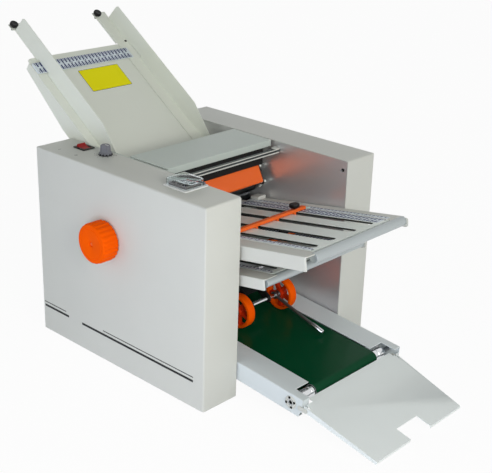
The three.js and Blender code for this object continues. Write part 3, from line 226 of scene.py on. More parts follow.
EXTRAS = {
    "slat_metal": LONG_GRAIN_Y,
    "shaded_lower_sheet": LONG_GRAIN_Y,
    "side_plate_steel": LONG_GRAIN_Y,
    "ruler_steel": LONG_GRAIN_X,
    "steel": ROUND_GRAIN,
    "roller_steel": ROUND_GRAIN,
    "chrome": dict(spread=0.03),
    "belt_green": dict(tone_scale=11),
    "clear_plastic": dict(spread=0.03, Transmission_Weight=1.0, IOR=1.2),
}
FINISHES = {name: finish(name, *look, **EXTRAS.get(name, {})) for name, look in LOOKS.items()}


# Shapes, drawn in millimetres

def add_object(name, data):
    made = bpy.data.objects.new(name, data)
    bpy.context.scene.collection.objects.link(made)
    return made


class Shape:
    """A mesh being drawn. Each method that draws adds a closed form and gives the shape back."""

    def __init__(self):
        self.bm = bmesh.new()

    def ring(self, points):
        return [self.bm.verts.new(point) for point in points]

    def prism(self, outline, low, high, axis="Z", holes=()):
        """A flat outline with holes, drawn out along an axis."""
        def spot(u, v, w):
            return {"X": (w, u, v), "Y": (u, w, v), "Z": (u, v, w)}[axis]
        ends = []
        for level in (low, high):
            rings = [self.ring([spot(u, v, level) for u, v in loop]) for loop in (outline, *holes)]
            if holes:
                edges = [self.bm.edges.new((ring[i - 1], ring[i])) for ring in rings
                         for i in range(len(ring))]
                bmesh.ops.triangle_fill(self.bm, use_beauty=True, edges=edges)
            else:
                self.bm.faces.new(rings[0])
            ends.append(rings)
        for near, far in zip(*ends):
            self.wall(near, far)
        return self

    def wall(self, near, far):
        """Faces between two rings of equal count."""
        for i in range(len(near)):
            self.bm.faces.new((near[i - 1], near[i], far[i], far[i - 1]))

    def box(self, low, high):
        outline = [(low[0], low[1]), (high[0], low[1]), (high[0], high[1]), (low[0], high[1])]
        return self.prism(outline, low[2], high[2])

    def loft(self, rings):
        """Rings of equal count joined in turn, with a cap at each end."""
        rows = [self.ring(points) for points in rings]
        self.bm.faces.new(rows[0])
        self.bm.faces.new(rows[-1])
        for near, far in zip(rows, rows[1:]):
            self.wall(near, far)
        return self

    def turn(self, profile, place=Matrix(), sides=40, ripple=None):
        """A profile of radius and height turned about the Z of a place. A ripple changes the radius."""
        rows = []
        for index, (radius, height) in enumerate(profile):
            if radius == 0:
                rows.append([self.bm.verts.new(place @ Vector((0, 0, height)))])
                continue
            row = []
            for i in range(sides):
                angle = 2 * math.pi * i / sides
                reach = radius - (ripple(angle, index) if ripple else 0)
                row.append(self.bm.verts.new(
                    place @ Vector((reach * math.cos(angle), reach * math.sin(angle), height))))
            rows.append(row)
        pairs = list(zip(rows, rows[1:]))
        if profile[0][0] and profile[-1][0]:
            pairs.append((rows[-1], rows[0]))
        for near, far in pairs:
            for i in range(sides):
                j = (i + 1) % sides
                corners = [near[i % len(near)], near[j % len(near)], far[j % len(far)], far[i % len(far)]]
                self.bm.faces.new(list(dict.fromkeys(corners)))
        return self

    def rod(self, start, end, radius, sides=24, edge=0.4):
        """A straight bar with eased ends."""
        start, end = Vector(start), Vector(end)
        along = end - start
        place = Matrix.Translation(start) @ along.to_track_quat("Z", "Y").to_matrix().to_4x4()
        return self.turn(ring_profile(0, radius, 0, along.length, min(edge, radius / 2)), place, sides)

    def across(self, span, spot, radius, **more):
        """A straight bar along X, at a Y and Z."""
        return self.rod((span[0], *spot), (span[1], *spot), radius, **more)

    def add(self, other, place=Matrix()):
        mesh = other.mesh(place)
        self.bm.from_mesh(mesh)
        bpy.data.meshes.remove(mesh)
        return self

    def mesh(self, place=Matrix(), name="shape"):
        """A new mesh of the shape, laid in a place, with its normals facing out."""
        bmesh.ops.recalc_face_normals(self.bm, faces=self.bm.faces)
        mesh = bpy.data.meshes.new(name)
        self.bm.to_mesh(mesh)
        mesh.transform(place)
        return mesh

    def boolean(self, operation, *others):
        """Cuts each of the others away, or joins it on, as the operation says."""
        for other in others:
            whole, tool = (add_object("tool", shape.mesh()) for shape in (self, other))
            modifier = whole.modifiers.new("boolean", "BOOLEAN")
            modifier.operation = operation
            modifier.solver = "EXACT"
            modifier.object = tool
            evaluated = whole.evaluated_get(bpy.context.evaluated_depsgraph_get())
            result = bpy.data.meshes.new_from_object(evaluated)
            self.bm.clear()
            self.bm.from_mesh(result)
            for leftover in (whole.data, tool.data, result):
                bpy.data.meshes.remove(leftover)
        return self

    def text(self, words, size, place, depth=0.05):
        """Plain numerals lying flat in a place, centred on it."""
        curve = bpy.data.curves.new("numerals", "FONT")
        curve.body = words
        curve.size = size
        curve.align_x = "CENTER"
        curve.align_y = "CENTER"
        curve.extrude = depth
        curve.resolution_u = 3
        holder = bpy.data.objects.new("numerals", curve)
        mesh = bpy.data.meshes.new_from_object(holder)
        mesh.transform(place)
        self.bm.from_mesh(mesh)
        bpy.data.objects.remove(holder)
        bpy.data.meshes.remove(mesh)
        return self


def ring_profile(bore, radius, low, high, ease):
    """The profile of a turned ring whose outer edges are eased."""
    return [(bore, low), (radius - ease, low), (radius, low + ease), (radius, high - ease),
            (radius - ease, high), (bore, high)]


def arc(u, v, radius, start, sweep, steps):
    """Points on an arc about a centre, both ends included. Its angles are in radians."""
    angles = [start + sweep * k / steps for k in range(steps + 1)]
    return [(u + radius * math.cos(angle), v + radius * math.sin(angle)) for angle in angles]


def rounded(u0, u1, v0, v1, radius, steps=5):
    """A rectangle with rounded corners. The radius may be one for each corner, from low u, low v."""
    radii = radius if isinstance(radius, list) else [radius] * 4
    corners = [(u0, v0, 1, 1), (u1, v0, -1, 1), (u1, v1, -1, -1), (u0, v1, 1, -1)]
    points = []
    for i, ((u, v, su, sv), r) in enumerate(zip(corners, radii)):
        bend = arc(u + su * r, v + sv * r, r, (2 + i) * math.pi / 2, math.pi / 2, steps)
        points += bend if r else [(u, v)]
    return points


def circle(radius, sides=64):
    return arc(0, 0, radius, 0, 2 * math.pi, sides)[:-1]


def slot_outline(u, v0, v1, width, steps=6):
    """A slot along V with round ends."""
    r = width / 2
    return arc(u, v0 + r, r, math.pi, math.pi, steps) + arc(u, v1 - r, r, 0, math.pi, steps)


def filleted(points, radius, steps=5):
    """An open line whose inner corners are arcs."""
    line = [Vector(points[0])]
    for before, corner, after in zip(points, points[1:], points[2:]):
        corner = Vector(corner)
        towards = [(Vector(end) - corner).normalized() for end in (before, after)]
        half = towards[0].angle(towards[1]) / 2
        reach = radius / math.tan(half)
        centre = corner + (towards[0] + towards[1]).normalized() * (radius / math.sin(half))
        first, last = (corner + toward * reach - centre for toward in towards)
        sweep = first.angle_signed(last)
        for k in range(steps + 1):
            turned = first.copy()
            turned.rotate(Matrix.Rotation(-sweep * k / steps, 2))
            line.append(centre + turned)
    line.append(Vector(points[-1]))
    return line


def ribbon(line, thickness):
    """The outline of a bent sheet whose outer face follows a line; the sheet lies on the line's left."""
    inner = []
    for i, point in enumerate(line):
        ahead = line[min(i + 1, len(line) - 1)] - point
        behind = point - line[max(i - 1, 0)]
        directions = [d.normalized() for d in (behind, ahead) if d.length > 0]
        normals = [Vector((-d.y, d.x)) for d in directions]
        middle = sum(normals, Vector((0, 0))).normalized()
        inner.append(point + middle * thickness / max(0.2, middle.dot(normals[0])))
    return [tuple(p) for p in line] + [tuple(p) for p in reversed(inner)]


def folded(side, line, fillet, thickness):
    """A bent sheet's outline, drawn for the right side and mirrored for the left."""
    return [(side * u, v) for u, v in ribbon(filleted(line, fillet), thickness)]


def stadium(a, radius_a, b, radius_b, steps=24):
    """A convex outline round two circles."""
    (ua, va), (ub, vb) = a, b
    lean = math.atan2(vb - va, ub - ua)
    spread = math.acos((radius_a - radius_b) / math.hypot(ub - ua, vb - va))
    return (arc(ua, va, radius_a, lean + spread, 2 * math.pi - 2 * spread, steps)
            + arc(ub, vb, radius_b, lean - spread, 2 * spread, steps))


def corner_waste(u, v, du, dv, radius, steps=7):
    """What a rounded corner leaves of a square one. The piece lies from the corner towards du and dv."""
    centre_u, centre_v = u + du * radius, v + dv * radius
    bend = [(centre_u - du * a, centre_v - dv * b) for a, b in arc(0, 0, radius, 0, math.pi / 2, steps)]
    over = 1
    return [(u - du * over, v - dv * over), (u - du * over, centre_v), *bend, (centre_u, v - dv * over)]


def flutes(count, depth, rows):
    """A ripple of round ribs on some rows of a turned profile."""
    def ripple(angle, row):
        return depth * (0.5 - 0.5 * math.cos(count * angle)) if row in rows else 0
    return ripple


def side_span(side, near, far):
    return (near, far) if side > 0 else (-far, -near)


# Pieces

def piece(name, shape, place, slot, body="chassis", bevel=0.3, replaces=(), finish_name=None):
    """Puts a drawn shape in the scene as one piece that rides on a body."""
    mesh = shape.mesh(place, name)
    mesh.shade_smooth()
    mesh.set_sharp_from_angle(angle=SMOOTH_ANGLE)
    mesh.materials.append(FINISHES[finish_name or slot])
    made = add_object(name, mesh)
    if bevel:
        ease_edges(made, bevel)
    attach(made, body)
    if replaces:
        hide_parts(*replaces)


def trim(name, shape, place, finish_name, body="chassis"):
    """Print or a small part that takes none of the record's slots."""
    piece(name, shape, place, None, body, bevel=0, finish_name=finish_name)


def add_screws(name, spots, radius, height, place=HOME, slot="steel", body="chassis"):
    """Pan heads with hexagon sockets, each standing on the Z of its spot."""
    socket = radius * 0.45
    profile = [(0, 0), (radius, 0), (radius, height * 0.55), (radius * 0.8, height), (socket, height),
               (socket, height * 0.4), (0, height * 0.4)]
    heads = Shape()
    for spot in spots:
        heads.turn(profile, spot, sides=24)
    piece(name, heads, place, slot, body, bevel=0)


def ease_edges(thing, width):
    bevel = thing.modifiers.new("eased_edges", "BEVEL")
    bevel.width = width * MM
    bevel.segments = 2
    bevel.limit_method = "ANGLE"
    bevel.angle_limit = SMOOTH_ANGLE
    bevel.harden_normals = True


def weld_group():
    """Joins the loose faces of a CAD mesh and smooths its round stretches, without changing its shape."""
    group = bpy.data.node_groups.new("weld_and_smooth", "GeometryNodeTree")
    for direction in ("INPUT", "OUTPUT"):
        group.interface.new_socket("Geometry", in_out=direction, socket_type="NodeSocketGeometry")
    nodes, links = group.nodes, group.links
    bare = set_sockets(nodes.new("GeometryNodeRemoveAttribute"), Name="custom_normal")
    weld = set_sockets(nodes.new("GeometryNodeMergeByDistance"), Distance=WELD_DISTANCE)
    faces = nodes.new("GeometryNodeSetShadeSmooth")
    faces.domain = "FACE"
    edges = nodes.new("GeometryNodeSetShadeSmooth")
    edges.domain = "EDGE"
    angle = nodes.new("GeometryNodeInputMeshEdgeAngle")
    flat = set_sockets(nodes.new("FunctionNodeCompare"), B=SMOOTH_ANGLE)
    flat.operation = "LESS_THAN"
    links.new(angle.outputs["Unsigned Angle"], flat.inputs["A"])
    links.new(flat.outputs["Result"], edges.inputs["Shade Smooth"])
    chain = [nodes.new("NodeGroupInput"), bare, weld, faces, edges, nodes.new("NodeGroupOutput")]
    for before, after in zip(chain, chain[1:]):
        links.new(before.outputs["Geometry"], after.inputs["Geometry"])
    return group


WELD = weld_group()


def dress(node, slot, bevel=0.3, finish_name=None):
    """Gives a CAD node its finish, smooth round stretches and eased edges."""
    thing = frame["nodes"][node]
    thing.material_slots[0].link = "OBJECT"
    thing.material_slots[0].material = FINISHES[finish_name or slot]
    weld = thing.modifiers.new("weld_and_smooth", "NODES")
    weld.node_group = WELD
    if bevel:
        whole = thing.modifiers.new("whole_faces", "DECIMATE")
        whole.decimate_type = "DISSOLVE"
        whole.angle_limit = FLAT_ANGLE
        ease_edges(thing, bevel)


# Casings and the frame between them

STRIPE_THICKNESS = 0.12
STRIPES = {"low": (60, 5.4, [(30, 383), (430, 517)]), "high": (69, 2, [(30, 311), (440, 519)])}
BACK_SCREW_HEIGHTS = (96, 250, 404)
INLET_SCREW_INSET = 2.6


def add_casings():
    for side in ("left", "right"):
        dress(f"{side}_casing", "painted_white", 0.5)
        dress(f"{side}_side_frame", "side_plate_steel", 0.3)
        for end in ("front", "rear"):
            add_foot(f"foot_{end}_{side}")
    dress("base_plate", "painted_grey")
    dress("power_inlet", "black_plastic")
    for label, (z, height, runs) in STRIPES.items():
        shape = Shape()
        for y0, y1 in runs:
            shape.box((-OUTER_X - STRIPE_THICKNESS, y0, z - height / 2), (-OUTER_X, y1, z + height / 2))
        trim(f"casing_stripes_{label}", shape, HOME, "black_print")
    middle = (OUTER_X + INNER_X) / 2
    spots = [shifted(x, BACK_Y + LIFT, z) @ ALONG_Y for x in (-middle, middle) for z in BACK_SCREW_HEIGHTS]
    add_screws("casing_back_screws", spots, 3.6, 1.6)
    low, high = extent("power_inlet")
    spots = [shifted(x, high.y, (low.z + high.z) / 2) @ ALONG_Y
             for x in (low.x + INLET_SCREW_INSET, high.x - INLET_SCREW_INSET)]
    add_screws("power_inlet_screws", spots, 2, 1)


def add_foot(node):
    low, high = extent(node)
    centre = (low + high) / 2
    radius = (high.x - low.x) / 2
    height = high.z - low.z
    tip = radius * 0.83
    profile = [(0, height), (radius - 1, height), (radius, height - 1), (tip + 0.6, 1.2), (tip - 0.8, 0),
               (tip * 0.5, 0), (tip * 0.45, 2.5), (0, 2.5)]
    piece(node + "_pad", Shape().turn(profile, shifted(centre.x, centre.y, low.z)), HOME, "foot_rubber",
          bevel=0, replaces=[node])


# Controls on the left casing

WHEEL_RADIUS = 43.6
WHEEL_RIBS = 24


def add_handwheel():
    low, high = extent("handwheel")
    radius = WHEEL_RADIUS
    depth = high.x - low.x
    place = shifted(high.x, MAIN.y, MAIN.z) @ ALONG_X.inverted()
    profile = [(0, 0), (radius - 3, 0), (radius - 1, 0.7), (radius, 2.2), (radius, depth - 7),
               (radius - 0.8, depth - 3.6), (radius - 2.4, depth - 1.2), (radius - 4.6, depth - 0.2),
               (radius - 7, depth), (radius - 9, depth), (radius - 9.8, depth - 0.7),
               (radius - 10.8, depth - 0.7), (radius - 11.6, depth), (6.2, depth), (5.2, depth - 0.6),
               (4.6, depth - 3.2), (0, depth - 3.2)]
    ripple = flutes(WHEEL_RIBS, 1.7, (2, 3, 4, 5))
    piece("handwheel_knob", Shape().turn(profile, place, sides=240, ripple=ripple), HOME,
          "orange_plastic", "main_roller", bevel=0, replaces=["handwheel"])
    cap = Shape().turn([(0, depth - 3.2), (3.4, depth - 3.2), (3.4, depth - 2), (2.9, depth - 1.5),
                        (0, depth - 1.5)], place)
    trim("handwheel_screw", cap, HOME, "orange_paint", "main_roller")


# How far the speed knob and the counter stand off the casing's top, in millimetres
SEAT_RISE = 0.3
KNOB_RADIUS = 14
KNOB_RIBS = 18
KNOB_TOP = 21.2
GRIP_COUNT = 12
DIAL_MARKS = 11
DIAL_SWEEP = 280


def add_speed_knob():
    low, high = extent("speed_knob")
    z = TOP_Z + SEAT_RISE
    place = shifted((low.x + high.x) / 2, (low.y + high.y) / 2, z)
    stem = low.z - z
    r = KNOB_RADIUS
    profile = [(0, stem), (3, stem), (3, 0.6), (r - 1, 0.6), (r, 1), (r, 3.2), (r - 0.4, 4.2), (r - 2.2, 5),
               (r - 2.4, 6), (r - 3.4, 19), (r - 3.9, 20.6), (r - 5, 21.6), (r - 6.4, 21.9),
               (r - 7.2, KNOB_TOP), (0, KNOB_TOP)]
    ripple = flutes(KNOB_RIBS, 1.1, (8, 9, 10, 11))
    piece("speed_knob_body", Shape().turn(profile, place, sides=144, ripple=ripple), HOME, "grey_plastic",
          "knob", bevel=0, replaces=["speed_knob"])
    grips = Shape()
    for i in range(GRIP_COUNT):
        turn = Matrix.Rotation(2 * math.pi * i / GRIP_COUNT, 4, "Z")
        grips.add(Shape().prism(rounded(r - 0.5, r + 0.5, -1.7, 1.7, 0.3), 1, 3.6), turn)
    piece("speed_knob_grips", grips, HOME @ place, "black_plastic", "knob", bevel=0.2)
    pointer = Shape().box((-0.8, -10, KNOB_TOP), (0.8, 0.5, KNOB_TOP + 1.1))
    piece("speed_knob_pointer", pointer, HOME @ place, None, "knob", bevel=0.2, finish_name="white_print")

    dial = Shape().prism(circle(r + 1.6), LIFT - SEAT_RISE, LIFT, holes=[circle(4)])
    for i in range(DIAL_MARKS):
        angle = math.radians(-90 - DIAL_SWEEP / 2 + DIAL_SWEEP * i / (DIAL_MARKS - 1))
        tick = Shape().box((r + 3, -0.5, LIFT - 0.1), (r + 6.5, 0.5, LIFT))
        dial.add(tick, Matrix.Rotation(angle, 4, "Z"))
        dial.text(str(i), 4.6, around(r + 10, angle, LIFT) @ QUARTER.inverted())
    trim("speed_dial", dial, HOME @ place, "black_print")


# The numerals beside the switch, where they stand, and how tall they are
PANEL_NUMERALS = {"1": (-235, 472), "0": (-235, 416)}
PANEL_SIZE = 11


def add_switch():
    low, high = extent("switch_bezel")
    inner = 5.5
    lip = 2
    wall = 2

    def frame_ring(inset, radius):
        return rounded(low.x + inset, high.x - inset, low.y + inset, high.y - inset, radius)

    top = high.z - lip
    flange = Shape().prism(frame_ring(0, 2.5), top, high.z, holes=[frame_ring(inner, 0.8)])
    levels = [(inner, low.z + wall), (inner, top), (inner - 1, top), (inner - 1, low.z)]
    outlines = [frame_ring(inner, 0.8), frame_ring(inner - wall, 0.8)]
    cup = Shape().loft([[(u, v, z) for u, v in outlines[inset != inner]] for inset, z in levels])
    piece("switch_bezel_flange", flange, HOME, "black_plastic", bevel=0.5, replaces=["switch_bezel"])
    piece("switch_bezel_cup", cup, HOME, "black_plastic", bevel=0)

    centre = (low + high) / 2
    place = HOME @ shifted(centre.x, centre.y, top, ROCKER_TILT)
    reach, rise, sag, half = 12.2, 5.2, 1.2, 10.6
    steps = 12
    curve = [(reach - 2 * reach * k / steps, sag + (rise - sag) * (1 - 2 * k / steps) ** 2)
             for k in range(steps + 1)]
    outline = [(-9.8, -6), (9.8, -6), (reach, 0), *curve, (-reach, 0)]
    piece("switch_rocker_cap", Shape().prism(outline, -half, half, "X"), place, "red_plastic", "rocker",
          bevel=0.5, replaces=["switch_rocker"])
    marks = Shape()
    for mark, y in (("I", 6.6), ("O", -6.6)):
        marks.text(mark, 5, shifted(0, y, 2.15 + LIFT, math.copysign(16, y)) @ QUARTER)
    trim("switch_marks", marks, place, "white_print", "rocker")

    numerals = Shape()
    for words, (x, y) in PANEL_NUMERALS.items():
        numerals.text(words, PANEL_SIZE, shifted(x, y, TOP_Z + LIFT) @ QUARTER)
    trim("panel_numerals", numerals, HOME, "black_print")


def add_counter():
    low, high = extent("counter_body")
    z = TOP_Z + SEAT_RISE
    flange = z + 3
    body = Shape().prism(rounded(low.x, high.x, low.y, high.y, 4), z, flange)
    piece("counter_flange", body, HOME, "grey_plastic", bevel=0.9, replaces=["counter_body"],
          finish_name="white_print")
    deep = 6.6
    case = Shape().prism(rounded(low.x + deep, high.x - deep, low.y + deep, high.y - deep, 1), low.z, z)
    piece("counter_case", case, HOME, "grey_plastic", bevel=0.4)

    x0, x1, y0, y1 = low.x + 8, low.x + 51, low.y + 8, high.y - 8
    block = z + 8
    pane = rounded(x0 + 19, x0 + 35, y0 + 5, y1 - 5, 1)
    piece("counter_block", Shape().prism(rounded(x0, x1, y0, y1, 2), flange, block), HOME, "grey_plastic",
          bevel=0.8, finish_name="counter_grey")
    piece("counter_window", Shape().prism(pane, block, block + 0.5), HOME, None, bevel=0.15,
          finish_name="dark_glass")
    rim = Shape().prism(rounded(x0 + 17, x0 + 37, y0 + 3, y1 - 3, 2), block, block + 0.9, holes=[pane])
    piece("counter_window_rim", rim, HOME, None, bevel=0.3, finish_name="white_print")
    digits = Shape().text("0000", 12, shifted(x0 + 27, (y0 + y1) / 2, block + 0.55) @ QUARTER)
    trim("counter_digits", digits, HOME, "white_print")
    keys = Shape()
    for y in (y0 + 10, y0 + 24.5, y0 + 39):
        keys.prism(rounded(x0 + 4, x0 + 13, y - 4.5, y + 4.5, 1.5), block, block + 1.8)
    piece("counter_keys", keys, HOME, "black_plastic", bevel=0.5)
    reset = Shape().prism(rounded(x1 - 5, x1 - 1.5, y0 + 8, y1 - 8, 1), block, block + 1.4)
    piece("counter_reset", reset, HOME, "red_plastic", bevel=0.4)

    hinge_x, hinge_z = high.x - 6.1, z + 5.9
    ears = Shape().rod((hinge_x, low.y + 6, hinge_z), (hinge_x, high.y - 6, hinge_z), 1.2)
    for y in (low.y + 6, high.y - 9):
        ears.prism(rounded(hinge_x - 2.6, hinge_x + 2.6, flange, hinge_z + 2.2, [0, 0, 2.2, 2.2]), y, y + 3,
                   "Y")
    piece("counter_hinge", ears, HOME, "grey_plastic", bevel=0.2)
    add_counter_cover()
    barrel = Shape().rod((hinge_x, low.y + 9.6, hinge_z), (hinge_x, high.y - 9.6, hinge_z), 2.5)
    piece("counter_cover_barrel", barrel, HOME, "clear_plastic", "counter_lid", bevel=0)


def add_counter_cover():
    """A thin clear shell, open below, that stops short of its hinge."""
    low, high = extent("counter_cover")
    edge_x = high.x - 5.2

    def ring(inset, height):
        outline = rounded(low.x + inset, edge_x - inset, low.y + inset, high.y - inset, max(1.2, 5 - inset))
        return [(u, v, height) for u, v in outline]

    wall = 1.5
    bottom, top = low.z, high.z
    rings = [ring(wall + 2, top - wall), ring(wall + 0.4, top - wall - 0.8), ring(wall, top - wall - 2.4),
             ring(wall, bottom), ring(0, bottom), ring(0, top - 3), ring(0.7, top - 1), ring(2.4, top)]
    piece("counter_window_cover", Shape().loft(rings), HOME, "clear_plastic", "counter_lid", bevel=0,
          replaces=["counter_cover"])


# Cover, tie bar and beam over the throat

# The black sheet in the throat paints the shade there: how far before the beam's back edge it stands, and
# how deep its flanges are
BAFFLE_INSET = 24
BAFFLE_FLANGE = 9
COVER_STRIP_WIDTH = 6.3


def add_cover():
    dress("top_cover", "painted_grey", 0.45)
    low, high = extent("front_tie_bar")
    top = high.z - 3
    bar = Shape().box((low.x, low.y + 1.6, low.z), (high.x, high.y, top))
    piece("tie_bar", bar, HOME, "chrome", bevel=0.6, replaces=["front_tie_bar"], finish_name="roller_steel")
    # Two white strips along the dark bar's face, at its top and bottom edges, give those edges their
    # brightness: painted highlight
    strips = Shape()
    for z0, z1 in ((low.z - 0.2, low.z + 2.6), (top - 1.9, top + 0.2)):
        strips.box((low.x + 2, low.y, z0), (high.x - 2, low.y + 1.7, z1))
    piece("tie_bar_highlight_strips", strips, HOME, "painted_white", bevel=0.5)
    for label, side in (("left", -1), ("right", 1)):
        x0, x1 = side_span(side, INNER_X - 17, INNER_X - 0.4)
        bracket = Shape().prism(rounded(x0, x1, low.y - 2.5, high.y + 3, 3), top + 0.2, top + 3.4)
        piece(f"tie_bar_bracket_{label}", bracket, HOME, "painted_white", bevel=1)

    beam_high = extent("separator_beam")[1]
    front, bottom = beam_high.y - BAFFLE_INSET, beam_high.z + 0.4
    back = front + BAFFLE_FLANGE
    line = [(back, top - 1), (front, top - 1), (front, bottom), (back, bottom)]
    baffle = Shape().prism(ribbon(filleted(line, 2), 1.5), 9 - INNER_X, INNER_X - 9, "X")
    # A black sheet behind the tie bar fills the throat with painted shade
    piece("throat_shade_plate", baffle, HOME, "black_paint", bevel=0.3)
    cover_low, cover_high = extent("top_cover")
    x0 = -INNER_X + 0.3
    strip = Shape().box((x0, cover_low.y, TOP_Z - 3),
                        (x0 + COVER_STRIP_WIDTH, cover_high.y + 60, TOP_Z - 1.4))
    piece("cover_side_strip", strip, HOME, "painted_grey", bevel=0.4)


BEAM_WALL = 2
BEAM_SIDE_GAP = 21


def add_beam():
    low, high = extent("separator_beam")
    front, top, bottom = low.y, high.z, low.z
    wall, half = BEAM_WALL, INNER_X - BEAM_SIDE_GAP
    line = [(front + 16, bottom), (front, bottom), (front + 18, top), (front + 38, top)]
    skin = Shape().prism(ribbon(filleted(line, 2.5), wall), -half, half, "X")
    piece("separator_beam_skin", skin, HOME, "orange_paint", bevel=0.5, replaces=["separator_beam"])

    # Each pin's Y and Z, its radius, and where the slanted rod behind it ends
    upper_pin, lower_pin = (front + 24, top - 6), (front + 6, top - 38)
    pin_rows = [(upper_pin, 3.4, (front + 34, top - 24)), (lower_pin, 3, (front + 22, top - 56))]
    cheek_outline = [(front + 38, top - wall), (front + 19, top - wall), (front + 2, bottom + wall),
                     (front + 16, bottom + wall)]
    cheeks, stubs, links, pins = Shape(), Shape(), Shape(), Shape()
    for side in (-1, 1):
        cheeks.prism(cheek_outline, *side_span(side, half - wall, half - 0.2), "X")
        stubs.across(side_span(side, half, INNER_X - 0.4), (front + 28, top - 19.5), 5, edge=0.8)
        links.prism(stadium(upper_pin, 8, lower_pin, 6, 12), *side_span(side, half + 1, half + 5), "X")
        x = side * (half + 12)
        for spot, radius, end in pin_rows:
            pins.across(side_span(side, half + 0.4, half + 15), spot, radius)
            pins.rod((x, *spot), (x, *end), 2)
    piece("separator_beam_cheeks", cheeks, HOME, "orange_paint", bevel=0.3)
    trim("separator_beam_stubs", stubs, HOME, "black_paint")
    piece("separator_links", links, HOME, "black_paint", bevel=0.5)
    # The pins take the pale slat finish instead of chrome, so that they read as bright lines: painted
    # highlight
    piece("separator_pins", pins, HOME, "chrome", bevel=0, finish_name="slat_metal")


# Rollers and motor

MOTOR_BAND = 16
MOTOR_RIBS = 40


def add_rollers():
    for i in range(1, 7):
        dress(f"fold_roller_{i}", "steel", 0, "roller_steel")
    for node in ("feed_roller", "feed_drive_belt", "conveyor_drive_belt", "main_drive_belt"):
        dress(node, "roller_rubber", 0)


def add_motor():
    """The motor's ribbed barrel, its end bands and the bolts on its end."""
    dress("motor", "motor_paint", 0.5)
    dress("motor_shaft", "steel", 0)
    low, high = extent("motor")
    shaft_low, shaft_high = extent("motor_shaft")
    axis = (shaft_low + shaft_high) / 2
    radius = high.z - axis.z
    length = high.x - low.x
    place = shifted(low.x, axis.y, axis.z) @ ALONG_X
    band = MOTOR_BAND
    ribs = Shape().turn([(radius - 1, band), (radius + 2, band), (radius + 2, length - band),
                         (radius - 1, length - band)], place, sides=8 * MOTOR_RIBS,
                        ripple=flutes(MOTOR_RIBS, 1.8, (1, 2)))
    piece("motor_ribs", ribs, HOME, "motor_paint", bevel=0)
    bands = Shape()
    for start in (2, length - band + 2):
        bands.turn(ring_profile(radius - 1, radius + 2.2, start, start + band - 4, 0.6), place, sides=96)
    piece("motor_bands", bands, HOME, "black_paint", bevel=0)
    spots = [place @ around(radius * 0.78, (i + 0.5) * math.pi / 2, length) for i in range(4)]
    add_screws("motor_bolts", spots, 3.4, 2.4)


# Rules: a pale strip with ticks and numerals

TICK_STEP = 5
STRIP_HEIGHT = 0.15
MARK_HEIGHT = 0.2


def add_rule(name, place, length, width, edges=(0,), strip=True, numeral=6):
    """A rule from the origin of its place along X, with ticks on its low edge (0), high edge (1) or both."""
    if strip:
        base = Shape().box((0, 0, 0), (length, width, STRIP_HEIGHT))
        piece(name + "_strip", base, place, "ruler_steel", bevel=0)
    marks = Shape()
    count = int(length // TICK_STEP)
    for i in range(1, count):
        reach, half = (width * 0.42, 1.9) if i % 2 == 0 else (width * 0.26, 0.8)
        x = i * TICK_STEP
        for edge in edges:
            y0, y1 = (width - reach, width - 0.5) if edge else (0.5, reach)
            marks.box((x - half, y0, MARK_HEIGHT - 0.05), (x + half, y1, MARK_HEIGHT))
    middle = width * (0.5 if len(edges) > 1 else 0.68 - 0.36 * edges[0])
    for i in range(4, count - 1, 4):
        marks.text(str(i * TICK_STEP // 10), numeral, shifted(i * TICK_STEP, middle, MARK_HEIGHT), 0.03)
    trim(name + "_marks", marks, place, "blue_print")


# Feed table

YELLOW_PLATE = (-56, 62, 136, 204)
GUIDE_FLOOR = 1.8
RIVETS = {"left": (-131, 268), "right": (134, 268)}
GUIDE_HEAD = (8.5, 10, 5)


def add_table():
    # The table and its guides take a lighter copy of the white paint: painted light
    dress("feed_table", "painted_white", 0.5, "painted_white_lit")
    dress("ruler_bar", "ruler_steel", 0.3)
    low, high = extent("ruler_bar", TABLE)
    place = TABLE @ shifted(low.x, low.y, high.z)
    add_rule("table_rule", place, high.x - low.x, high.y - low.y, edges=(0, 1), strip=False, numeral=9)
    x0, x1, y0, y1 = YELLOW_PLATE
    trim("table_plate_edge", Shape().prism(rounded(x0, x1, y0, y1, 2), 0.02, 0.2), TABLE, "black_print")
    plate = Shape().prism(rounded(x0 + 1, x1 - 1, y0 + 1, y1 - 1, 1.5), 0.2, 0.4)
    trim("table_plate", plate, TABLE, "yellow_print")
    for side in RIVETS:
        dress(f"{side}_side_guide", "painted_white", 0.4, "painted_white_lit")
        add_thumb_screw(f"{side}_guide_screw", TABLE, f"screw_{side}", *GUIDE_HEAD)
    for side, (x, y) in RIVETS.items():
        add_screws(f"{side}_guide_rivet", [shifted(x, y, GUIDE_FLOOR)], 3, 1.4, TABLE, "black_plastic",
                   f"guide_{side}")


def add_thumb_screw(node, place, body, head, radius, neck):
    """A screw with a round fluted head, where its CAD node stands."""
    low, high = extent(node, place)
    middle = (low + high) / 2
    bottom = high.z - head
    profile = [(0, low.z), (2.2, low.z), (2.5, low.z + 0.6), (2.5, bottom - neck * 0.6), (4.4, bottom - 0.6),
               (radius * 0.72, bottom - 0.1), (radius * 0.95, bottom + head * 0.14),
               (radius, bottom + head * 0.3), (radius, bottom + head * 0.72),
               (radius * 0.93, bottom + head * 0.9), (radius * 0.7, high.z), (radius * 0.55, high.z - 0.5),
               (0, high.z - 0.6)]
    shape = Shape().turn(profile, shifted(middle.x, middle.y, 0), sides=120,
                         ripple=flutes(20, 0.5, (6, 7, 8, 9)))
    piece(node + "_head", shape, place, "black_plastic", body, bevel=0, replaces=[node])


# Fold plates

SLOT_SHARES = (-0.777, -0.335, 0.202, 0.665)
SLOT_WIDTH = 22
SLOT_INSET = 13
SKIN = 1.2
PLATE_DEPTH = 5
LEDGE = 5.2
RAIL_WALL = 2
RULE_INSET = 8
CLAMP_HEAD = (10, 11.6, 2)

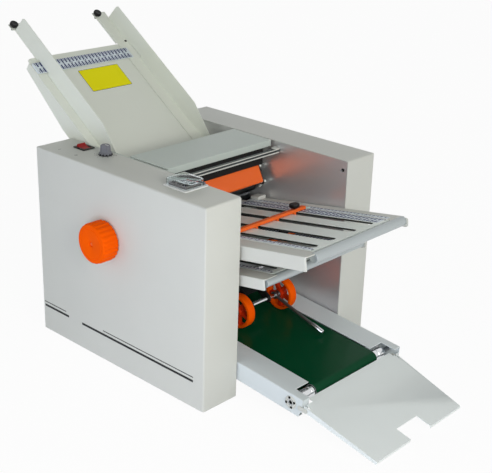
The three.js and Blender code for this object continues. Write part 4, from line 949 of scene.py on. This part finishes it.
# Front edge, left rail's depth, right rail's depth, tube's radius, and the tube's ends along X
FRONTS = {"upper": (-163, 29, 21, 10.2, -133.3, 153), "lower": (-62, 23, 21, 9, -154, 153)}


def add_slats(label, place, low, high):
    """Two thin slotted sheets, one above the other, with room for paper between them."""
    outline = rounded(low.x, high.x, low.y, high.y, [1.5, 1.5, 0.5, 0.5])
    slots = [slot_outline(share * high.x, low.y + SLOT_INSET, high.y - SLOT_INSET, SLOT_WIDTH)
             for share in SLOT_SHARES]
    bottom = high.z - PLATE_DEPTH
    lower = Shape().prism(outline, bottom, bottom + SKIN, holes=slots)
    # The lower sheet is dark, which paints the shade seen through the slots
    piece(f"{label}_shaded_lower_sheet", lower, place, "slat_metal", bevel=0.3, finish_name="shaded_lower_sheet")
    shape = Shape().prism(outline, high.z - SKIN, high.z, holes=slots)
    for side in (-1, 1):
        x0, x1 = side_span(side, high.x - 5, high.x - 0.3)
        shape.box((x0, low.y + 0.3, bottom + SKIN), (x1, high.y - 0.3, high.z - SKIN))
    shape.box((low.x + 6, low.y + 0.3, bottom + SKIN), (high.x - 6, low.y + 8, high.z - SKIN))
    piece(f"{label}_slats", shape, place, "slat_metal", bevel=0.3, replaces=[f"{label}_fold_plate"])
    spots = [shifted(side * (high.x - 5), y, high.z) for side in (-1, 1) for y in (low.y + 6, high.y - 7)]
    add_screws(f"{label}_slat_screws", spots, 2.4, 1.2, place)


def add_front_plate(label, place):
    low, high = extent(f"{label}_fold_plate", place)
    add_slats(label, place, low, high)
    left_edge = high.x * SLOT_SHARES[0] - SLOT_WIDTH / 2
    right_edge = high.x * SLOT_SHARES[-1] + SLOT_WIDTH / 2
    rules = [("left", left_edge - 1.6, left_edge - low.x - 2.6, (0,), 7),
             ("right", high.x - 1, high.x - right_edge - 2, (0, 1), 8), ("deck", high.x + 16, 13, (0,), 6)]
    for name, x, width, edges, numeral in rules:
        add_rule(f"{label}_{name}_rule", place @ shifted(x, low.y + RULE_INSET, 0.02) @ QUARTER,
                 high.y - low.y - 26, width, edges=edges, numeral=numeral)

    front, left_depth, right_depth, radius, x0, x1 = FRONTS[label]
    back = extent(f"{label}_plate_frame", place)[1].y
    inner, outer = high.x + 0.3, INNER_X - 6.7
    bosses = Shape()
    for name, side, depth in (("left", -1, left_depth), ("right", 1, right_depth)):
        rail = rail_shape(side, front, back, inner, outer, depth)
        piece(f"{label}_{name}_rail", rail, place, "painted_white", bevel=0.4,
              replaces=[f"{label}_plate_frame"])
        for y in (40, back - 30):
            bosses.across(side_span(side, outer - 2, INNER_X - 0.35), (y, -13), 5)
    add_front_tube(label, place, front, radius, x0, x1)
    piece(f"{label}_rail_bosses", bosses, place, "steel", bevel=0)
    bar = Shape().box((-outer + 1.6, back - 27, -18.3), (outer - 1.6, back - 13, -LEDGE - 2))
    piece(f"{label}_cross_bar", bar, place, "painted_white", bevel=0.6)
    if label == "upper":
        block = Shape().prism(rounded(outer - 26, outer, back - 26, back - 1, 2), 0.02, 8)
        piece("rail_block", block, place, "painted_white", bevel=1)
    add_stop(label, place, high.x)


def rail_shape(side, front, back, inner, outer, depth):
    """A folded rail: an outer skirt, a deck, and a ledge that the slotted sheets lie on."""
    line = [(outer, -depth), (outer, 0), (inner, 0), (inner, -LEDGE), (inner - 9, -LEDGE)]
    section = folded(side, line, 2.4, RAIL_WALL)
    plan = corner_waste(side * outer, front, -side, 1, 7)
    skirt = corner_waste(front, -depth, 1, 1, 5)
    clear = 1
    x0, x1 = side_span(side, inner - 12, inner + 0.02)
    return Shape().prism(section, front, back, "Y").boolean(
        "DIFFERENCE", Shape().prism(plan, -depth - clear, clear),
        Shape().prism(skirt, *side_span(side, outer - 4, outer + 1), "X"),
        Shape().box((x0, front - clear, -LEDGE - 3), (x1, front + 14, clear)))


def add_front_tube(label, place, front, radius, x0, x1):
    """A round tube across the front, plugged at its left end, with a bracket on its right end."""
    y, z = front + 4.5, -9
    bore, mouth = radius - 1.8, 22
    length = x1 - x0
    profile = [(0, 1.2), (bore - 1, 1.2), (bore, 0.6), (bore + 0.6, 0), (radius - 0.5, 0), (radius, 0.6),
               (radius, length - 0.6), (radius - 0.5, length), (bore + 0.6, length), (bore, length - 0.6),
               (bore, length - mouth), (0, length - mouth)]
    # The tube takes a darker copy of the white paint: painted shade
    piece(f"{label}_front_tube", Shape().turn(profile, shifted(x0, y, z) @ ALONG_X, sides=56), place,
          "painted_white", bevel=0, finish_name="painted_white_shaded_tube")
    reach = radius + 2.4
    cap = Shape().prism(rounded(y - reach, y + reach + 4, z - reach, -2.2, [6, 2, 1, 4]), x1, x1 + 2.2, "X")
    piece(f"{label}_tube_bracket", cap, place, "painted_white", bevel=0.5)


def add_stop(label, place, plate_half):
    """A stop bar with tongues down into the slots, a clear pointer and a clamp knob."""
    node, body = f"{label}_stop_bar", f"stop_{label}"
    low, high = extent(node, place)
    half = plate_half - 6
    y = (low.y + high.y) / 2
    base = 1.3
    bar = Shape().prism(rounded(-half, half, y - 6, y + 6, 1.5), base, base + 7)
    for share in SLOT_SHARES:
        x = share * plate_half
        bar.box((x - 3, y - 4, -PLATE_DEPTH), (x + 3, y + 4, base))
    piece(f"{node}_body", bar, place, "orange_paint", body, bevel=0.7, replaces=[node])
    pointer = Shape().prism(rounded(half + 0.1, half + 14, y - 6, y + 6, [0, 3, 3, 0]), base, base + 1.8)
    piece(f"{node}_pointer", pointer, place, "clear_plastic", body, bevel=0.3, finish_name="clear_tint")
    hairline = Shape().box((half + 1, y - 0.4, base + 1.8), (half + 12.5, y + 0.4, base + 1.9))
    trim(f"{node}_hairline", hairline, place, "orange_paint", body)
    add_thumb_screw(f"{label}_stop_knob", place, f"clamp_{label}", *CLAMP_HEAD)


def add_rear_plates():
    for label in ("rear_upper", "rear_lower"):
        dress(f"{label}_fold_plate", "slat_metal", 0.3)
        dress(f"{label}_stop_bar", "orange_paint", 0.5)


# Conveyor and tray

RAIL_FRONT, RAIL_BACK = -176, 232
ROLLER_Y, REAR_ROLLER_Y = -147, 215
AXIS_Z = -18.5
BELT_REACH = 15.8
BELT_THICKNESS = 1.5
BOSSES_Y = (30, 195)
BOSS_Z = -21
FRONT_ROLLER_RADIUS = 14

# What is left of each rail's deck beside its notch, and how high the wall across its front end stands
NOTCH_STRIP = 20
FRONT_WALL_TOPS = {"left": -0.8, "right": -15}


def add_conveyor():
    dress("conveyor_bed", "steel", 0.3)
    dress("conveyor_rear_roller", "steel", 0)
    belt_half = extent("conveyor_belt", CONVEYOR)[1].x
    half = INNER_X - 3
    for name, side in (("left", -1), ("right", 1)):
        line = [(half - 14, -42), (half, -42), (half, 0), (belt_half + 2, 0)]
        section = folded(side, line, 2.5, RAIL_WALL)
        x0, x1 = side_span(side, belt_half - 3, half - NOTCH_STRIP)
        notch = rounded(x0, x1, RAIL_FRONT - 3, ROLLER_Y + 8, 0.5)
        corner = [(RAIL_FRONT - 3, -45), (RAIL_FRONT + 9, -45), (RAIL_FRONT - 3, -15)]
        rail = Shape().prism(section, RAIL_FRONT, RAIL_BACK, "Y").boolean(
            "DIFFERENCE", Shape().prism(notch, -21, 3),
            Shape().prism(corner, *side_span(side, half - 17, half + 3), "X"))
        x0, x1 = side_span(side, half - NOTCH_STRIP, half - 0.6)
        rail.box((x0, RAIL_FRONT, -28.8), (x1, RAIL_FRONT + RAIL_WALL, FRONT_WALL_TOPS[name]))
        # The rails take a lighter, bluer copy of the white paint: painted light
        piece(f"conveyor_{name}_rail_skin", rail, CONVEYOR, "painted_white", bevel=0.35,
              replaces=[f"conveyor_{name}_rail"], finish_name="painted_white_lit_rail")
        add_bearing(name, side, half)
        bosses = Shape()
        for y in BOSSES_Y:
            bosses.rod((side * (half - RAIL_WALL), y, BOSS_Z), (side * (INNER_X - 0.35), y, BOSS_Z), 8)
        piece(f"conveyor_{name}_bosses", bosses, CONVEYOR, "steel", bevel=0)
    add_lugs(half)

    outer, inner = (stadium((REAR_ROLLER_Y, AXIS_Z), reach, (ROLLER_Y, AXIS_Z), reach, 28)
                    for reach in (BELT_REACH, BELT_REACH - BELT_THICKNESS))
    belt = Shape().prism(outer, -belt_half, belt_half, "X", holes=[inner])
    piece("conveyor_belt_loop", belt, CONVEYOR, "belt_green", bevel=0.4, replaces=["conveyor_belt"])
    roller = Shape().across((-belt_half, belt_half), (ROLLER_Y, AXIS_Z), FRONT_ROLLER_RADIUS, sides=56)
    roller.across((-half, half), (ROLLER_Y, AXIS_Z), 5)
    piece("front_roller_tube", roller, CONVEYOR, "steel", "belt_front_roller", bevel=0,
          replaces=["conveyor_front_roller"])
    caps = Shape()
    for side in (-1, 1):
        place = shifted(side * (belt_half + 0.2), ROLLER_Y, AXIS_Z) @ outwards(side)
        caps.turn([(5.3, 0), (12.4, 0), (12.9, 0.6), (12.9, 10), (12.3, 10.8), (12.3, 13), (12.9, 13.8),
                   (12.9, 32), (11.8, 35), (10, 36), (8, 36), (7.4, 34), (5.3, 34)], place, sides=48)
    piece("front_roller_caps", caps, CONVEYOR, "chrome", "belt_front_roller", bevel=0)


def outwards(side):
    """A turn that lays a shape's Z along X, away from the middle."""
    return Matrix.Rotation(side * math.pi / 2, 4, "Y")


def add_bearing(name, side, half):
    place = shifted(side * half, ROLLER_Y, AXIS_Z) @ outwards(side)
    flange = Shape().turn([(7.4, 0), (13.4, 0), (14, 0.4), (14, 0.8), (13.2, 1.3), (7.8, 1.3), (7.4, 0.9)],
                          place, sides=48)
    piece(f"bearing_flange_{name}", flange, CONVEYOR, "painted_white", bevel=0)
    race = Shape().turn([(5.2, 0), (7, 0), (7, 1.6), (6.5, 2.1), (5.6, 2.1), (5.2, 1.7)], place, sides=40)
    piece(f"bearing_race_{name}", race, CONVEYOR, "chrome", bevel=0)
    spots = [place @ around(10.6, i * math.pi / 2 + math.radians(20), 1.2) for i in range(4)]
    add_screws(f"bearing_screws_{name}", spots, 2.7, 1.3, CONVEYOR, "black_plastic")


def add_lugs(half):
    """The ears on the rails that the tray hangs from, and its hinge pins."""
    at = CONVEYOR.inverted() @ HOME @ Vector((0, TRAY_HINGE.y, TRAY_HINGE.z))
    spot = (at.y, at.z)
    tray_low, tray_high = extent("delivery_tray")
    ears, pins = Shape(), Shape()
    for side, edge in ((-1, -tray_low.x), (1, tray_high.x)):
        ears.prism(stadium(spot, 4.6, (RAIL_FRONT + 5, at.z), 4.6, 12),
                   *side_span(side, edge + 0.5, edge + 2.6), "X")
        pins.across(side_span(side, edge - 3, edge + 2.8), spot, 2)
    ears.box((half - 22, RAIL_FRONT - 0.2, at.z - 3), (tray_high.x + 2.6, RAIL_FRONT + 1.5, at.z + 3))
    piece("tray_hinge_ears", ears, CONVEYOR, "painted_white", bevel=0.5)
    piece("tray_hinge_pins", pins, CONVEYOR, "painted_white", bevel=0)


TONGUE_HALF = 134
TONGUE_REACH = 12


def add_tray():
    # The tray and its tongue take a lighter, bluer copy of the white paint: painted light
    dress("delivery_tray", "painted_white", 0.45, "painted_white_lit_cool")
    tongue = Shape().box((-TONGUE_HALF, -0.6, -1.8), (TONGUE_HALF, TONGUE_REACH, -0.3))
    piece("tray_tongue", tongue, TRAY, "painted_white", "tray", bevel=0.4, finish_name="painted_white_lit_cool")


# Press wheels, their arm and the guide rod

TYRE_RADIUS = 37.3
SPOKES = 5
ARM_LEFT, ARM_RIGHT = -20, 40
ARM_WALL = 5
ROD_LENGTH = 147.5
SLEEVE_LENGTH = 32


def add_press_wheel(name):
    node = f"{name}_press_wheel"
    low, high = extent(node)
    width = high.x - low.x
    place = shifted(low.x, WHEEL_AXIS.y, WHEEL_AXIS.z) @ ALONG_X
    flank = [(30.8, 0.8), (31.4, 0), (36.2, 0), (37, 0.5), (TYRE_RADIUS, 1.4), (TYRE_RADIUS, 8.8),
             (36.7, 9.4)]
    profile = flank + [(radius, width - x) for radius, x in reversed(flank)]
    piece(f"{name}_wheel_tyre", Shape().turn(profile, place, sides=80), HOME, "orange_plastic",
          f"wheel_{name}", bevel=0.3, replaces=[node])
    spokes = Shape()
    edge = [(8.5, 5.4), (16, 4), (26, 4.2), (32, 6)]
    outline = [(u, -v) for u, v in edge] + edge[::-1]
    for i in range(SPOKES):
        arm = Shape().prism(outline, width / 2 - 4.5, width / 2 + 4.5)
        spokes.add(arm, place @ Matrix.Rotation(2 * math.pi * i / SPOKES, 4, "Z"))
    hub = Shape().turn(ring_profile(5.4, 10, 0, width, 0.6), place).boolean("UNION", spokes)
    # The webs and hub take a darker copy of the orange: painted shade
    piece(f"{name}_shaded_wheel_core", hub, HOME, "orange_plastic", f"wheel_{name}", bevel=0.5,
          finish_name="shaded_wheel_core")
    collars = Shape()
    for x in (-3.2, width + 0.4):
        collars.turn(ring_profile(5.1, 8, x, x + 2.8, 0.4), place)
    piece(f"{name}_wheel_collars", collars, HOME, "steel", "arm", bevel=0)
    return low.x, high.x


def add_press():
    left_edge = add_press_wheel("left")[0]
    right_edge = add_press_wheel("right")[1]
    low, high = extent("press_arm")
    rod = pivot("press_arm_lift")
    pivot_spot, axle_spot = (rod.y, rod.z), (WHEEL_AXIS.y, WHEEL_AXIS.z)
    outline = stadium(pivot_spot, 11, axle_spot, 9)
    arm = Shape().prism(outline, ARM_LEFT, ARM_LEFT + ARM_WALL, "X")
    arm.prism(outline, ARM_RIGHT - ARM_WALL, ARM_RIGHT, "X")
    along = Vector(axle_spot) - Vector(pivot_spot)
    lean = math.degrees(math.atan2(along.y, along.x))
    web = Shape().box((ARM_LEFT + ARM_WALL, 13, -1.5), (ARM_RIGHT - ARM_WALL, along.length - 26, 1.5))
    arm.add(web, shifted(0, rod.y, rod.z, lean))
    piece("press_arm_plate", arm, HOME, "black_paint", "arm", bevel=0.8, replaces=["press_arm"])
    rods = Shape().across((low.x, high.x), pivot_spot, 6)
    rods.across((left_edge - 3, right_edge + 3), axle_spot, 5)
    piece("press_rods", rods, HOME, "black_paint", "arm", bevel=0, finish_name="chrome")


def add_guide_rod():
    low, high = extent("guide_rod")
    place = HOME @ shifted((low.x + high.x) / 2, WHEEL_AXIS.y, WHEEL_AXIS.z, ROD_SLOPE)
    bar = Shape().turn(ring_profile(5.3, 9, -3, 3, 0.6), ALONG_X, sides=36)
    bar.rod((0, -8.2, 0), (0, -ROD_LENGTH, 0), 3.5)
    piece("guide_rod_bar", bar, place, "steel", "rod", bevel=0, replaces=["guide_rod"])
    tip = SLEEVE_LENGTH
    profile = [(0, 0), (4, 0), (4.8, 0.8), (4.8, tip - 1), (4.4, tip - 0.4), (3.5, tip), (0, tip)]
    sleeve = Shape().turn(profile, shifted(0, tip - ROD_LENGTH, 0) @ ALONG_Y.inverted())
    piece("guide_rod_sleeve", sleeve, place, "chrome", "rod", bevel=0)


# Floor, light and camera

CAMERA_AT = (-1.49728, -1.46734, 1.11148)
CAMERA_AZIMUTH = -47.3855
CAMERA_ELEVATION = 21.9641
CAMERA_ROLL = 1.7475
CAMERA_LENS = 75.22
CAMERA_SENSOR = 36
CAMERA_END = 60
FLOOR_HALF = 14
FLOOR_COLOUR = (0.9, 0.9, 0.9, 1)
FLOOR_GLOW = 0.95
SKY_HORIZON = 1.04
SKY_ZENITH = 0.03
SKY_COLOUR = (0.97, 1.0, 0.98, 1)
LAMP_AIM = Vector((0, 0, 0.25))

# Place, size, power and colour of each lamp
LAMPS = {
    "left": ((-1.5, -0.3, 0.04), 0.8, 9.4, (0.74, 0.79, 1.0)),
    "front": ((-0.8, -1.9, 1.15), 0.7, 17, (1.0, 0.96, 0.9)),
}


def add_camera():
    azimuth, elevation, roll = (math.radians(a) for a in (CAMERA_AZIMUTH, CAMERA_ELEVATION, CAMERA_ROLL))
    back = Vector((math.sin(azimuth) * math.cos(elevation), -math.cos(azimuth) * math.cos(elevation),
                   math.sin(elevation)))
    right = Vector((math.cos(azimuth), math.sin(azimuth), 0))
    up = back.cross(right)
    rolled_right = right * math.cos(roll) + up * math.sin(roll)
    rolled_up = up * math.cos(roll) - right * math.sin(roll)
    data = bpy.data.cameras.new("camera")
    data.lens = CAMERA_LENS
    data.sensor_width = CAMERA_SENSOR
    data.clip_end = CAMERA_END
    camera = add_object("camera", data)
    turn = Matrix((rolled_right, rolled_up, back)).transposed().to_4x4()
    camera.matrix_world = Matrix.Translation(CAMERA_AT) @ turn
    bpy.context.scene.camera = camera


def seen_directly(nodes, links):
    """1 for rays from the camera, mirrors and glass, 0 for those that carry light."""
    path = nodes.new("ShaderNodeLightPath")
    total = path.outputs["Is Camera Ray"]
    for output in ("Is Glossy Ray", "Is Transmission Ray"):
        larger = nodes.new("ShaderNodeMath")
        larger.operation = "MAXIMUM"
        links.new(total, larger.inputs[0])
        links.new(path.outputs[output], larger.inputs[1])
        total = larger.outputs["Value"]
    return total


def empty_nodes(owner):
    owner.use_nodes = True
    owner.node_tree.nodes.clear()
    return owner.node_tree.nodes, owner.node_tree.links


def add_output(nodes, links, kind, share, lit, white):
    """Sends two shaders to an output, where the white one takes the share."""
    mix = nodes.new("ShaderNodeMixShader")
    links.new(share, mix.inputs["Fac"])
    links.new(lit, mix.inputs[1])
    links.new(white, mix.inputs[2])
    links.new(mix.outputs["Shader"], nodes.new(kind).inputs["Surface"])


def add_floor():
    material = bpy.data.materials.new("floor")
    nodes, links = empty_nodes(material)
    diffuse = set_sockets(nodes.new("ShaderNodeBsdfDiffuse"), Color=FLOOR_COLOUR)
    glow = nodes.new("ShaderNodeEmission")
    share = nodes.new("ShaderNodeMath")
    share.operation = "MULTIPLY"
    share.inputs[1].default_value = FLOOR_GLOW
    links.new(seen_directly(nodes, links), share.inputs[0])
    add_output(nodes, links, "ShaderNodeOutputMaterial", share.outputs["Value"], diffuse.outputs["BSDF"],
               glow.outputs["Emission"])
    mesh = bpy.data.meshes.new("floor")
    corners = [(x * FLOOR_HALF, y * FLOOR_HALF, 0) for x, y in ((-1, -1), (1, -1), (1, 1), (-1, 1))]
    mesh.from_pydata(corners, [], [(0, 1, 2, 3)])
    mesh.materials.append(material)
    floor = add_object("floor", mesh)


def add_sky():
    """Light that fades from the horizon to the zenith, seen as plain white."""
    world = bpy.data.worlds.new("studio")
    bpy.context.scene.world = world
    nodes, links = empty_nodes(world)
    split = nodes.new("ShaderNodeSeparateXYZ")
    links.new(nodes.new("ShaderNodeTexCoord").outputs["Generated"], split.inputs["Vector"])
    level = set_sockets(nodes.new("ShaderNodeMapRange"), To_Min=SKY_HORIZON, To_Max=SKY_ZENITH)
    links.new(split.outputs["Z"], level.inputs["Value"])
    sky = set_sockets(nodes.new("ShaderNodeBackground"), Color=SKY_COLOUR)
    links.new(level.outputs["Result"], sky.inputs["Strength"])
    white = set_sockets(nodes.new("ShaderNodeBackground"), Color=(1, 1, 1, 1))
    add_output(nodes, links, "ShaderNodeOutputWorld", seen_directly(nodes, links),
               sky.outputs["Background"], white.outputs["Background"])


def add_lamps():
    for name, (place, size, power, tint) in LAMPS.items():
        data = bpy.data.lights.new(name, "AREA")
        data.size = size
        data.energy = power
        data.color = tint
        lamp = add_object(name, data)
        aim = LAMP_AIM - Vector(place)
        lamp.matrix_world = Matrix.Translation(place) @ aim.to_track_quat("-Z", "Y").to_matrix().to_4x4()


add_camera()
add_floor()
add_sky()
add_lamps()
bpy.context.scene.view_settings.view_transform = "Standard"

add_casings()
add_handwheel()
add_speed_knob()
add_switch()
add_counter()
add_cover()
add_beam()
add_rollers()
add_motor()
add_table()
add_front_plate("upper", UPPER)
add_front_plate("lower", LOWER)
add_rear_plates()
add_conveyor()
add_tray()
add_press()
add_guide_rod()
